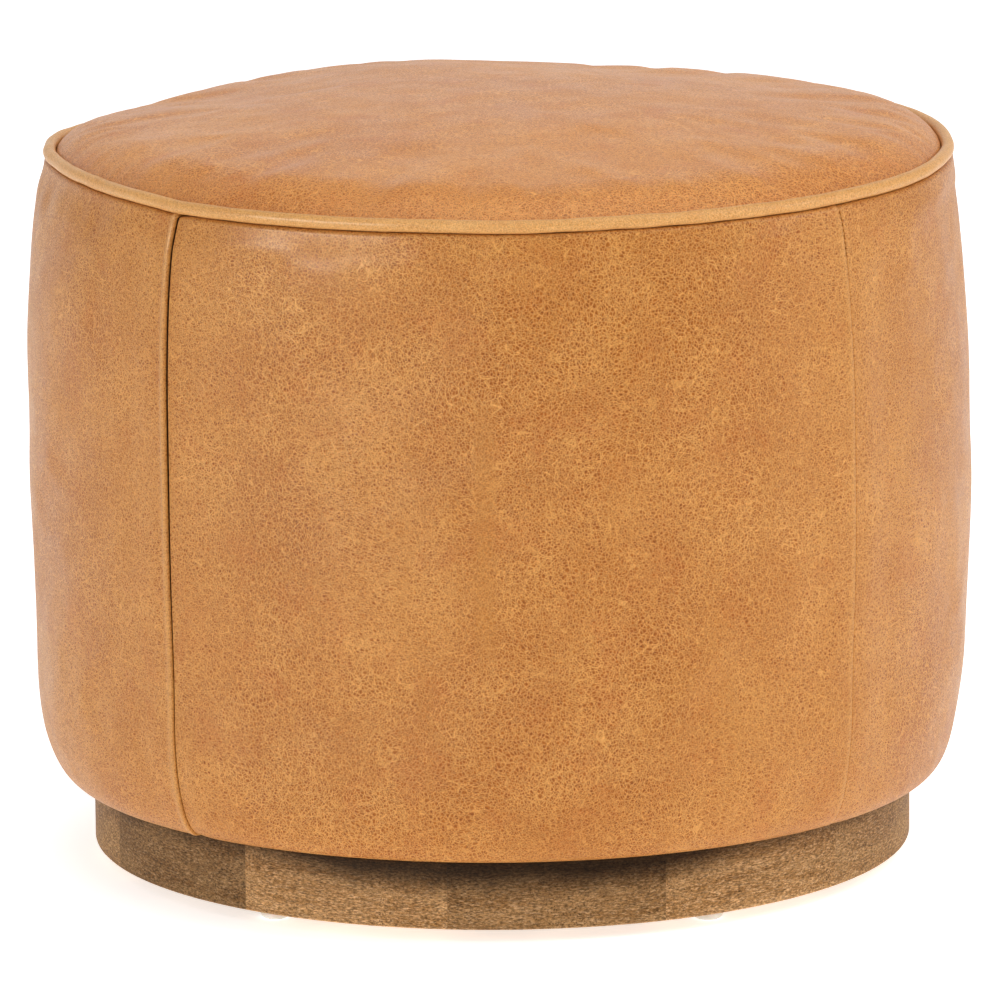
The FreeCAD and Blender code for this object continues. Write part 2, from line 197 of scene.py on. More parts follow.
def seat_profile(inset=0.0, step=3 * MM):
    """From the middle of the seat out to the welt, moved inwards by inset."""
    shoulder_r, shoulder_z, cap_radius, cap_z = seat_arcs()
    cap, shoulder = math.radians(CAP_DEG), math.radians(SHOULDER_DEG)
    a = np.linspace(0, cap, max(4, round(cap_radius * cap / step)))
    b = np.linspace(cap, shoulder, max(4, round(SHOULDER_R * (shoulder - cap) / (step / 2))))[1:]
    cap_in, shoulder_in = cap_radius - inset, SHOULDER_R - inset
    r = np.concatenate([cap_in * np.sin(a), shoulder_r + shoulder_in * np.sin(b)])
    z = np.concatenate([cap_z + cap_in * np.cos(a), shoulder_z + shoulder_in * np.cos(b)])
    return r, z


def wall_profile(inset=0.0, top=None, step=3 * MM):
    """From the underside of the lower edge, up the wall to top, moved inwards by inset."""
    top = WALL_TOP - 3 * MM if top is None else top
    centre_r, centre_z = BODY_R - ROUND_IN, HEM_Z + ROUND_UP
    a = np.linspace(0, math.pi / 2, 34)
    r = [centre_r + (ROUND_IN - inset) * np.sin(a)]
    z = [centre_z - (ROUND_UP - inset) * np.cos(a)]
    straight = np.arange(centre_z, CURVE_START_Z, step)[1:]
    r.append(np.full(len(straight), BODY_R - inset))
    z.append(straight)
    lean = np.linspace(CURVE_START_Z, top, max(3, round((top - CURVE_START_Z) / step)))
    r.append(BODY_R - CURVE_R + np.sqrt((CURVE_R - inset) ** 2 - (lean - CURVE_START_Z) ** 2))
    z.append(lean)
    return np.concatenate(r), np.concatenate(z)


def across(r, z):
    """Unit normals of a profile, on its right as it runs."""
    dr, dz = np.gradient(r), np.gradient(z)
    length = np.hypot(dr, dz)
    return dz / length, -dr / length


# How the sewn cover departs from a true drum

RIM_RADIUS = ((2, -0.2, 0.9), (3, 4.2, -0.6), (4, -2.2, -4.0))    # lobes: count, cosine and sine in mm
RIM_HEIGHT = ((1, 2.3, 2.4), (2, -1.9, -2.2))
BACK_ROUNDER = 0.6                # how much less the rim's radius varies in the back half
CORNER_SPREAD_DEG, CORNER_DROP = 7.0, 2.2 * MM    # the left seam pulls the welt down
hand_sewn = ripples(11, 7, (9, 26), (0, 0), 0.35 * MM)
hand_sewn_rise = ripples(12, 7, (8, 24), (0, 0), 0.35 * MM)
padding_sag = ripples(21, 9, (2, 7), (2.0, 6.0), 0.55 * MM)
padding_lumps = ripples(22, 14, (6, 18), (5.0, 14.0), 0.22 * MM)
seat_sag = ripples(23, 8, (1, 5), (4.0, 9.0), 0.5 * MM)

# Places that are stuffed more or less: azimuth and its spread in degrees; height, its spread and how much in mm
ALL_ROUND = 9999
WALL_STUFFING = ((270, 40, 408, 34, 2.6), (90, 40, 362, 36, -1.8), (0, ALL_ROUND, 142, 42, -2.0),
                 (90, 40, 225, 40, 1.4), (90, 40, 92, 22, -2.0))
BACK_STUFFING = ((200, 18, 6.0), (246, 17, -5.0), (128, 28, -4.4))    # the seat's shoulder: azimuth, spread, mm


def bell(distance, spread):
    return hump(distance / spread, math.sqrt(2))


class Stuffing:
    """How the padding pushes the cover: one field that every soft layer follows."""

    def __init__(self, wall_lift=None, seat_lift=None):
        self.wall_lift, self.seat_lift = wall_lift, seat_lift

    def out(self, phi, r, z):
        """Outward movement of the wall's layers."""
        planned = sum(mm * MM * bell(turned_from(math.radians(azimuth), phi), math.radians(spread))
                      * bell(z - height * MM, rise * MM)
                      for azimuth, spread, height, rise, mm in WALL_STUFFING)
        uneven = padding_sag(phi, z) + padding_lumps(phi, z)
        if self.wall_lift:
            uneven = uneven + self.wall_lift.at(phi, z)
        uneven = uneven * smooth(from_seams(phi), 3 * MM, 38 * MM) * smooth(z, HEM_Z, HEM_Z + 30 * MM)
        free = smooth(r, LINER_R, LINER_R + 12 * MM) * (1 - smooth(z, WALL_TOP - 24 * MM, WALL_TOP - 3 * MM))
        return (planned + uneven) * free

    def up(self, phi, r, z):
        """Upward movement of the seat's layers."""
        planned = sum(mm * MM * bell(turned_from(math.radians(azimuth), phi), math.radians(spread))
                      for azimuth, spread, mm in BACK_STUFFING)
        planned = planned * smooth(r, 60 * MM, 215 * MM) * (1 - smooth(r, 246 * MM, 273 * MM))
        uneven = seat_sag(phi, r) * smooth(r, 10 * MM, 80 * MM)
        if self.seat_lift:
            uneven = uneven + self.seat_lift.at(phi, r)
        uneven = uneven * (1 - smooth(r, LIP_R - 30 * MM, LIP_R - 3 * MM))
        return (planned + uneven) * smooth(z, SLAB_HIGH.z, SLAB_HIGH.z + 14 * MM)

    def shaped(self, points, near):
        """Points moved by the stuffing, and with the rim by a share near from 0 to 1."""
        x, y, z = points[..., 0], points[..., 1], points[..., 2]
        phi, r = np.arctan2(x, -y), np.hypot(x, y)
        rim_out, rim_up = rim_shift(phi)
        out = self.out(phi, r, z) + rim_out * near
        moved = points.copy()
        moved[..., 0] += out * np.sin(phi)
        moved[..., 1] -= out * np.cos(phi)
        moved[..., 2] += self.up(phi, r, z) + rim_up * near
        return moved


def lobes(phi, terms):
    return sum((c * np.cos(k * phi) + s * np.sin(k * phi)) * MM for k, c, s in terms)


def rim_shift(phi):
    """How far out and up the welt seam runs from a level circle."""
    spreads = turned_from(math.radians(SEAMS[3]), phi) / math.radians(CORNER_SPREAD_DEG)
    corner = -CORNER_DROP * np.exp(-np.sqrt(spreads**2 + 0.02))       # 0.02 blunts the corner
    rounder = 1 - BACK_ROUNDER * smooth(-np.cos(phi), 0.05, 0.75)
    out = lobes(phi, RIM_RADIUS) * rounder + hand_sewn(phi, 0)
    return out, lobes(phi, RIM_HEIGHT) + hand_sewn_rise(phi, 0) + corner


def wall_share(z):
    """How much a point of the wall at height z follows the rim."""
    return smooth(z, WALL_TOP - 110 * MM, WALL_TOP - 4 * MM) ** 1.5


def seat_share(r):
    return smooth(r, 110 * MM, LIP_R - 4 * MM)


# Leather panels of the wall

STITCH = 3.5 * MM
RIDGE_AT, RUB_AND_HIGHLIGHT_AT, RIDGE_WIDTH, DIP_WIDTH = 2.3 * MM, 2.4 * MM, 2.2 * MM, 9 * MM    # from a folded edge


class Seam:
    """An upright seam: how it wanders, and how its two edges (0 on its lower-azimuth side, 1 on the other) lie.

    Lengths are in mm. holes is how far down from the top the needle holes show, and the last argument how pale
    each folded edge is: rubbed, and painted with the highlight its raised roll catches.
    """

    def __init__(self, azimuth, hook=0.0, lean=0.0, roll=(1.2, 1.2), ridge=(0.0, 0.0), gap=0.4, dip=(0.5, 0.5),
                 holes=0, rub_and_highlight=(0.15, 0.15)):
        self.azimuth, self.rub_and_highlight = math.radians(azimuth), rub_and_highlight
        self.hook, self.lean, self.gap, self.holes_from = hook * MM, lean * MM, gap * MM, WALL_TOP - holes * MM
        self.roll, self.ridge, self.dip = (tuple(v * MM for v in pair) for pair in (roll, ridge, dip))

    def at(self, z):
        """Azimuth of the seam at height z."""
        near_top = np.exp(-np.maximum(WALL_TOP - z, 0) / (9 * MM))
        upper = smooth(z, WALL_TOP - 90 * MM, WALL_TOP)
        return self.azimuth + (self.hook * near_top + self.lean * upper) / BODY_R

    def openness(self, z):
        """Width of the gap between the edges: widest in the upper half, closing downwards."""
        width = self.gap * (0.3 + 0.7 * smooth(z, HEM_Z + 30 * MM, WALL_TOP - 140 * MM))
        hole = smooth(np.abs(((z - self.holes_from) / STITCH) % 1 - 0.5), 0.36, 0.2)
        return width + 0.9 * MM * hole * (z > self.holes_from) * (z < WALL_TOP - 3 * MM)

    def offset(self, distance, z, side):
        """How far in the leather lies, at a distance from its edge."""
        roll, ridge = self.roll[side], self.ridge[side]
        inside = np.clip(roll - distance, 0, roll)
        rolled = roll - np.sqrt(np.maximum(roll**2 - inside**2, 0))
        dip = self.dip[side] * hump(distance, DIP_WIDTH)
        upper = 0.35 + 0.65 * smooth(z, HEM_Z + 60 * MM, WALL_TOP - 60 * MM)
        return rolled + dip - ridge * upper * hump(distance - RIDGE_AT, RIDGE_WIDTH)


SEAM_DETAILS = (
    Seam(SEAMS[0], hook=-3.5, lean=-2.0, roll=(0.9, 0.9), ridge=(0.5, 0.1), gap=0.13, dip=(0.15, 0.45),
         holes=31, rub_and_highlight=(0.5, 0.1)),
    Seam(SEAMS[1], hook=1.0, roll=(1.3, 1.1), ridge=(0.4, 0.1), gap=0.5),
    Seam(SEAMS[2], hook=-1.0, roll=(1.1, 1.3), ridge=(0.1, 0.4), gap=0.5),
    Seam(SEAMS[3], hook=3.0, roll=(1.1, 0.7), ridge=(1.5, 0.0), gap=1.3, dip=(0.1, 1.0), rub_and_highlight=(0.75, 0.0)),
)
FLAP_DEPTHS = np.array([5.6, 4.0, 2.6, 1.6, 0.8]) * MM     # how far in the seam's allowances are followed
EDGE_STEPS = np.array([0.5, 1.1, 1.9, 3.0, 4.5, 6.5, 9.0]) * MM


def panel_columns(width, roll_a, roll_b):
    """Distances from a panel's first seam, close together at both edges."""
    def near(roll):
        return np.concatenate([np.linspace(0, 1, 7) ** 1.6 * roll, roll + EDGE_STEPS])

    first, last = near(roll_a), width - near(roll_b)[::-1]
    middle = np.linspace(first[-1], last[0], round((last[0] - first[-1]) / (3 * MM)) + 1)[1:-1]
    return np.concatenate([first, middle, last])


def panel_profile():
    """A panel from its stapled hem, up the wall, to its sewing allowance under the welt."""
    r, z = wall_profile()
    fine_r, fine_z = wall_profile(step=0.55 * MM)      # fine enough to show the needle holes
    level = WALL_TOP - 36 * MM
    r, z = (np.concatenate([v[z < level], fine[fine_z >= level]]) for v, fine in ((r, fine_r), (z, fine_z)))
    hem_r = np.linspace(HEM_INNER_R, r[0], 14)[:-1]
    corner, turn = np.linspace(0, math.pi / 2, 7)[1:], 3 * MM
    corner_r = r[-1] - turn * (1 - np.cos(corner))
    in_r = np.linspace(corner_r[-1], TURN_IN_R, 5)[1:]
    return (np.concatenate([hem_r, r, corner_r, in_r]),
            np.concatenate([np.full(len(hem_r), HEM_Z), z, WALL_TOP - turn * (1 - np.sin(corner)),
                            np.full(len(in_r), WALL_TOP)]))


def wall_panel(side, material, stuffing):
    """One quarter of the wall: face, rolled seam edges, hem under the deck and allowance under the welt."""
    index = PANELS.index(side)
    first, last = SEAM_DETAILS[index], SEAM_DETAILS[(index + 1) % 4]
    row_r, row_z = panel_profile()
    normal_r, normal_z = (v[:, None] for v in across(row_r, row_z))
    start, end = first.at(row_z), last.at(row_z)
    end = end + (2 * math.pi if end[0] < start[0] else 0)
    # Columns are shares of each row's width, which changes a little where a seam leans.
    width = BODY_R * (end.mean() - start.mean())
    columns = panel_columns(width, first.roll[1], last.roll[0])
    row_width = BODY_R * (end - start)[:, None]
    from_first = columns[None, :] / width * row_width
    from_last = row_width - from_first
    phi = start[:, None] + from_first / BODY_R
    seam_in = first.offset(from_first, row_z[:, None], 1) + last.offset(from_last, row_z[:, None], 0)
    wall_part = smooth(row_r, 240 * MM, 262 * MM)[:, None]
    inward = seam_in * wall_part
    radius = row_r[:, None] - normal_r * inward
    height = row_z[:, None] - normal_z * inward
    # How the material tells the folded edges, above 0, made pale by rubbing and a painted highlight, and the
    # seams' insides, -1, painted dark as shade.
    worn = (first.rub_and_highlight[1] * hump(from_first - RUB_AND_HIGHLIGHT_AT, RIDGE_WIDTH)
            + last.rub_and_highlight[0] * hump(from_last - RUB_AND_HIGHLIGHT_AT, RIDGE_WIDTH))
    worn = np.pad(worn, ((0, 0), (len(FLAP_DEPTHS),) * 2), constant_values=-1) * wall_part
    # The edges turn in and meet at the stitches.
    sides = []
    for seam, column, edge, sign in ((first, 0, from_first, 1), (last, -1, from_last, -1)):
        gap = seam.openness(row_z)[:, None] / 2 / BODY_R
        phi = phi + sign * gap * (1 - smooth(edge, 0, 6 * MM))
        closed = smooth(FLAP_DEPTHS, 0.6 * MM, 2.6 * MM)[None, :]
        inwards = FLAP_DEPTHS[None, :] * wall_part
        sides.append((radius[:, [column]] - normal_r * inwards,
                      phi[:, [column]] - sign * closed * (gap - 0.06 * MM / BODY_R),
                      height[:, [column]] - normal_z * inwards))
    radius, phi, height = (np.hstack([a, middle, b[:, ::-1]])
                           for a, middle, b in zip(sides[0], (radius, phi, height), sides[1]))
    points = stuffing.shaped(polar(radius, phi, height), wall_share(height))
    piece = mesh_piece(f"leather_{side}_panel", points, [quads(*phi.shape)], f"side_panel_{side}", "leather",
                       material)
    edge = piece.data.attributes.new("edge", "FLOAT", "POINT")
    edge.data.foreach_set("value", worn.ravel().astype(np.float32))
    thicken(piece, LEATHER)


# Seat panel

def seat_panel(material, stuffing):
    """The round crowned panel, whose edge turns down beside the welt and in along the seam."""
    r, z = seat_profile()
    down_r = np.array([LIP_R - 0.2 * MM, LIP_R, LIP_R, LIP_R - 0.8 * MM])
    down_z = np.array([WELT_Z - 0.3 * MM, WELT_Z - 1.6 * MM, LIP_Z + 1.0 * MM, LIP_Z])
    in_r = np.linspace(LIP_R - 0.8 * MM, TURN_IN_R, 5)[1:]
    row_r = np.concatenate([r[1:], down_r, in_r])
    row_z = np.concatenate([z[1:], down_z, np.full(len(in_r), LIP_Z)])
    phi = ring(480)
    gather = ripples(31, 10, (60, 130), (0, 0), 0.16 * MM)(phi[None, :], 0)
    lift = gather * (smooth(row_r, LIP_R - 26 * MM, LIP_R - 8 * MM) * (row_z > WELT_Z))[:, None]
    points = polar(row_r[:, None], phi[None, :], row_z[:, None] + lift)
    points = stuffing.shaped(points, seat_share(row_r)[:, None])
    everything, faces = closed_rings(points, first=points[0, :, 2].mean() + z[0] - z[1])
    faces = [f[:, ::-1] for f in faces]
    piece = mesh_piece("leather_seat_panel", everything, faces, "top_panel", "leather", material)
    thicken(piece, LEATHER)


# Welt

def carried_round(name, section_r, section_z, phi, node, slot, material):
    """A closed section, as offsets from the welt's centre line, carried round the rim."""
    out, up = rim_shift(phi)
    points = polar((WELT_R + out)[None, :] + section_r, phi[None, :], (WELT_Z + up)[None, :] + section_z)
    faces = quads(len(section_r), len(phi), wrap_rows=True, wrap_columns=True)[:, ::-1]
    mesh_piece(name, points, [faces], node, slot, material)


def welt_cover(material):
    """The strip folded round its cord, with its two tails in the seam and its ends lapped at the back."""
    phi = ring(900)
    tail_z, split, slit = 2.9 * MM, 3.45 * MM, 0.05 * MM      # below the centre line; slit is between the tails
    bore = WELT_TUBE - 1.3 * MM
    outer = np.linspace(-math.acos(-tail_z / WELT_TUBE), math.pi, 30)
    inner = np.linspace(math.radians(190), math.radians(-160), 18)
    tail, root, mouth = TURN_IN_R - WELT_R, -9 * MM, -2.5 * MM
    fat = ripples(41, 9, (12, 60), (0, 0), 0.10 * MM)(phi, 0)
    lap = 0.35 * MM * np.exp(-((((phi - math.radians(171)) * WELT_R) / (7 * MM)) ** 4))
    swell = (fat + lap)[None, :] / WELT_TUBE + 1
    section_r = np.concatenate([[tail, root], WELT_TUBE * np.sin(outer), [root, tail, tail, root, mouth],
                                bore * np.sin(inner), [mouth, root, tail]])
    section_z = np.concatenate([[-tail_z] * 2, WELT_TUBE * np.cos(outer), [-WELT_TUBE] * 2, [-split - slit] * 3,
                                bore * np.cos(inner), [-split + slit] * 3])
    puffed = np.ones((len(section_r), 1)) * swell
    puffed[:2], puffed[2 + len(outer):] = 1, 1
    carried_round("welt_strip", section_r[:, None] * puffed, section_z[:, None] * puffed, phi, "welt_cover",
                  "welt_leather", material)


def welt_cord(material):
    """The filler cord, of three twisted strands."""
    phi, angle = ring(720), ring(12)[:, None]
    strands, twist = 3, 150
    radius = 2.35 * MM + 0.2 * MM * np.abs(np.cos((strands * angle + twist * phi[None, :]) / 2))
    carried_round("welt_filler_cord", radius * np.sin(angle), radius * np.cos(angle), phi, "welt_cord",
                  "piping_cord", material)


# Stitches

def stitch_rows(starts, ends, thickness):
    """Short lengths of thread with rounded ends, each from a start to an end."""
    starts, ends = np.asarray(starts, float), np.asarray(ends, float)
    along = ends - starts
    length = np.linalg.norm(along, axis=1, keepdims=True)
    along = along / length
    helper = np.where(np.abs(along[:, 2:]) < 0.8, [[0, 0, 1.0]], [[1.0, 0, 0]])
    side = np.cross(along, helper)
    side = side / np.linalg.norm(side, axis=1, keepdims=True)
    up = np.cross(along, side)
    sides = 6
    angle = ring(sides)[None, :, None]
    round_it = np.cos(angle) * side[:, None, :] + np.sin(angle) * up[:, None, :]
    shares = ((0.0, 0.35), (0.12, 0.85), (0.5, 1.0), (0.88, 0.85), (1.0, 0.35))    # along a stitch, and how fat
    points = np.stack([(starts + along * length * share)[:, None, :] + thickness * fat * round_it
                       for share, fat in shares], 1)
    rings = len(shares)
    base = np.arange(len(starts))[:, None, None] * rings * sides
    faces = (quads(rings, sides, wrap_columns=True)[None] + base).reshape(-1, 4)
    caps = np.stack([np.arange(sides), np.arange(sides) + (rings - 1) * sides])
    caps[0] = caps[0][::-1]
    caps = (caps[None] + base).reshape(-1, sides)
    return points.reshape(-1, 3), [faces, caps]


def side_seam_stitches(material, stuffing):
    """The upright seams' stitches, as deep as the folded edges dip."""
    length, thread = 2.3 * MM, 0.3 * MM
    r, z = wall_profile(step=1 * MM)
    normal_r, normal_z = across(r, z)
    along = np.concatenate([[0], np.cumsum(np.hypot(np.diff(r), np.diff(z)))])
    starts, ends = [], []
    for seam in SEAM_DETAILS:
        depth = 1.7 * MM + max(seam.dip)
        at = np.arange(2 * MM, along[-1] - 2 * MM, STITCH)
        for row, s in ((starts, at), (ends, at + length)):
            sr = np.interp(s, along, r) - np.interp(s, along, normal_r) * depth
            sz = np.interp(s, along, z) - np.interp(s, along, normal_z) * depth
            row.append(stuffing.shaped(polar(sr, seam.at(sz), sz), wall_share(sz)))
    points, faces = stitch_rows(np.concatenate(starts), np.concatenate(ends), thread)
    mesh_piece("side_seam_stitches", points, faces, "side_seam_thread", "sewing_thread", material)


def welt_seam_stitches(material):
    """Needle thread over the seam and bobbin thread under it."""
    low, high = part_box("welt_seam_thread")
    inset, thread = 0.35 * MM, 0.33 * MM
    phi = ring(420)
    starts, ends = [], []
    for level in (low.z + inset, high.z - inset):
        for row, angle in ((starts, phi), (ends, phi + 0.7 * phi[1])):
            out, up = rim_shift(angle)
            row.append(polar(high.x - inset + out, angle, level + up))
    points, faces = stitch_rows(np.concatenate(starts), np.concatenate(ends), thread)
    mesh_piece("welt_seam_stitches", points, faces, "welt_seam_thread", "sewing_thread", material)


# Padding under the leather

def pad(stuffing, name, outline, node, finish, texture, share, sectors=240, groove=0.0):
    """Padding turned from an outline, with an uneven surface.

    An outline that starts on the axis ends on it too; any other closes on itself. A groove is pressed in
    behind each upright seam.
    """
    r, z = (np.array(v, float) for v in outline)
    capped = r[0] == 0
    phi = ring(sectors)
    nr, nz = across(r, z)
    uneven = texture(phi[None, :], (z + 3 * r)[:, None])
    if capped:
        uneven = uneven * smooth(r, 0, 30 * MM)[:, None]
    kept = slice(1, -1) if capped else slice(None)
    points = polar((r[:, None] - nr[:, None] * uneven)[kept], phi[None, :],
                   (z[:, None] - nz[:, None] * uneven)[kept])
    if groove:
        radius = np.hypot(points[..., 0], points[..., 1])
        pressed = groove * hump(from_seams(phi), 8 * MM)[None, :] * smooth(radius, LINER_R, LINER_R + 8 * MM)
        points[..., :2] *= (1 - pressed / radius)[..., None]
    points = stuffing.shaped(points, share(r, z)[kept, None])
    faces = [quads(len(r), sectors, wrap_rows=True, wrap_columns=True)]
    if capped:
        points, faces = closed_rings(points, z[0], z[-1])
    piece = mesh_piece(name, points, faces, node, *finish)
    flip_if_inside_out(piece)


def flip_if_inside_out(piece):
    """Turns a closed mesh's faces outwards."""
    mesh = bmesh.new()
    mesh.from_mesh(piece.data)
    if mesh.calc_volume(signed=True) < 0:
        bmesh.ops.reverse_faces(mesh, faces=mesh.faces)
        mesh.to_mesh(piece.data)
        piece.data.update()
    mesh.free()


def run(*corners, step=6 * MM):
    """Straight runs between (r, z) corners, divided into short steps."""
    r, z = [corners[0][0]], [corners[0][1]]
    for a, b in zip(corners, corners[1:]):
        n = max(1, round(math.hypot(b[0] - a[0], b[1] - a[1]) / step))
        for i in range(1, n + 1):
            r.append(a[0] + (b[0] - a[0]) * i / n)
            z.append(a[1] + (b[1] - a[1]) * i / n)
    return r, z


def pads(wadding, foam, stuffing):
    """The layers under the leather. Each starts a little further in than the one over it."""
    skin = LEATHER + 0.5 * MM
    slab_low, slab_top = SLAB_LOW.z, SLAB_HIGH.z
    fluff = ripples(51, 12, (20, 70), (30, 90), 0.25 * MM)
    cells = ripples(52, 10, (10, 40), (15, 50), 0.12 * MM)
    foot_r = LINER_R + 0.4 * MM
    wall_near = lambda r, z: wall_share(z) * smooth(r, foot_r, foot_r + 8 * MM)
    seat_near = lambda r, z: seat_share(r)
    slab_near = lambda r, z: seat_share(r) * smooth(z, slab_low, slab_top)
    wadding, foam = ("wadding", wadding), ("foam", foam)

    side_r, side_z = wall_profile(skin, slab_top - 1 * MM, 6 * MM)
    in_r, in_z = wall_profile(skin + 4.2 * MM, slab_top - 1 * MM, 6 * MM)
    outline = (np.concatenate([[foot_r], side_r, in_r[::-1], [foot_r]]),
               np.concatenate([[side_z[0]], side_z, in_z[::-1], [in_z[0]]]))
    pad(stuffing, "wadding_wall", outline, "side_wadding", wadding, fluff, wall_near, 720, 5 * MM)

    out_r, out_z = wall_profile(skin + 5.4 * MM, slab_low - 0.8 * MM, 8 * MM)
    back_r, back_z = run((out_r[-1], out_z[-1]), (foot_r, out_z[-1]), (foot_r, out_z[0]), (out_r[0], out_z[0]),
                         step=12 * MM)
    outline = (np.concatenate([out_r, back_r[1:-1]]), np.concatenate([out_z, back_z[1:-1]]))
    pad(stuffing, "foam_wall_wrap", outline, "side_foam", foam, cells, wall_near, 720, 5 * MM)

    slab_r, lip = SLAB_HIGH.x - 2.2 * MM, 2 * MM
    bottom, top = slab_low + 0.3 * MM, slab_top - 0.3 * MM
    outline = run((0, bottom), (slab_r - lip, bottom), (slab_r, slab_low + lip), (slab_r, slab_top - lip),
                  (slab_r - lip, top), (0, top), step=8 * MM)
    pad(stuffing, "foam_seat_slab", outline, "top_foam_slab", foam, cells, slab_near, 240)

    crown_end, bottom = 258 * MM, slab_top + 0.6 * MM
    crown_r, crown_z = seat_profile(skin + 8.6 * MM, 8 * MM)
    inside = crown_r < crown_end
    edge_z = float(np.interp(crown_end, crown_r, crown_z))
    down_r, down_z = run((crown_end, edge_z), (crown_end, bottom), (0, bottom), step=8 * MM)
    outline = (np.concatenate([crown_r[inside], down_r]), np.concatenate([crown_z[inside], down_z]))
    pad(stuffing, "foam_seat_crown", outline, "top_foam_crown", foam, cells, seat_near, 240)

    over_r, over_z = seat_profile(skin + 0.4 * MM, 6 * MM)
    under_r, under_z = seat_profile(skin + 7.4 * MM, 6 * MM)
    seam_top = LIP_Z + LEATHER + 0.6 * MM
    under_z = np.where(under_r > TURN_IN_R - 3 * MM, np.maximum(under_z, seam_top), under_z)
    outline = (np.concatenate([over_r, under_r[::-1]]), np.concatenate([over_z, under_z[::-1]]))
    pad(stuffing, "wadding_seat", outline, "top_wadding", wadding, fluff, seat_near, 360)


# Cloth simulation of the cover

def spline_weights(t):
    """Shares of the four nearest values in a cubic spline, between the second and the third."""
    return (1 - t) ** 3 / 6, (3 * t**3 - 6 * t**2 + 4) / 6, (-3 * t**3 + 3 * t**2 + 3 * t + 1) / 6, t**3 / 6


class Lift:
    """How far a simulated skin moved outwards, over azimuth and a second coordinate from low to high."""

    def __init__(self, values, low, high):
        self.values, self.low, self.high = values, low, high

    def at(self, phi, place):
        rows, columns = self.values.shape
        phi, place = np.broadcast_arrays(phi, place)
        u = (np.clip(place, self.low, self.high) - self.low) / (self.high - self.low) * (rows - 1)
        v = phi / (2 * math.pi) * columns
        u0, v0 = np.floor(u).astype(int), np.floor(v).astype(int)
        total = np.zeros(phi.shape)
        for i, across_weight in enumerate(spline_weights(u - u0)):
            for j, around_weight in enumerate(spline_weights(v - v0)):
                row, column = np.clip(u0 + i - 1, 0, rows - 1), (v0 + j - 1) % columns
                total += across_weight * around_weight * self.values[row, column]
        return total


def tree_of(mesh, points):
    return BVHTree.FromPolygons([Vector(p) for p in points], [tuple(p.vertices) for p in mesh.polygons])


def coordinates_of(mesh):
    points = np.empty(len(mesh.vertices) * 3, np.float32)
    mesh.vertices.foreach_get("co", points)
    return points.reshape(-1, 3).astype(float)


VOXEL = 6 * MM
PRESSURE, FRAMES, SHRINK = 4, 20, -0.012
WALL_CAP, SEAT_CAP = 1.8 * MM, 1.1 * MM       # how far the simulation may move the cover


def cover_form(sectors):
    """The whole cover as one closed skin of even small faces."""
    wall_r, wall_z = wall_profile(1 * MM, WALL_TOP, VOXEL)
    seat_r, seat_z = seat_profile(1 * MM, VOXEL)
    top = seat_z[0]
    seat_r, seat_z = seat_r[:0:-1], seat_z[:0:-1]      # from the welt in, without the point on the axis
    form_r = np.concatenate([[100 * MM, 200 * MM], wall_r, seat_r])
    form_z = np.concatenate([[wall_z[0]] * 2, wall_z, seat_z])
    share = np.concatenate([np.zeros(2), wall_share(wall_z), seat_share(seat_r)])
    rings = polar(form_r[:, None], ring(sectors)[None, :], form_z[:, None])
    rings = Stuffing().shaped(rings, share[:, None])
    form = mesh_piece("cover_form", *closed_rings(rings, form_z[0], top))
    remesh = form.modifiers.new("remesh", "REMESH")
    remesh.mode, remesh.voxel_size = "VOXEL", VOXEL
    form_mesh = bpy.data.meshes.new_from_object(form.evaluated_get(bpy.context.evaluated_depsgraph_get()))
    form.modifiers.clear()
    form.data = form_mesh
    return form


def sewn_down(points):
    """Which points of the form the welt, the seams and the hem hold."""
    x, y, z = points.T
    radius, azimuth = np.hypot(x, y), np.arctan2(x, -y)
    out, up = rim_shift(azimuth)
    held = (z < HEM_Z + 6 * MM) | (np.hypot(radius - WELT_R - out, z - WELT_Z - up) < 9 * MM)
    for seam in SEAM_DETAILS:
        held |= (np.abs(turned_from(seam.at(z), azimuth)) * BODY_R < 5 * MM) & (z < WELT_Z)
    return held


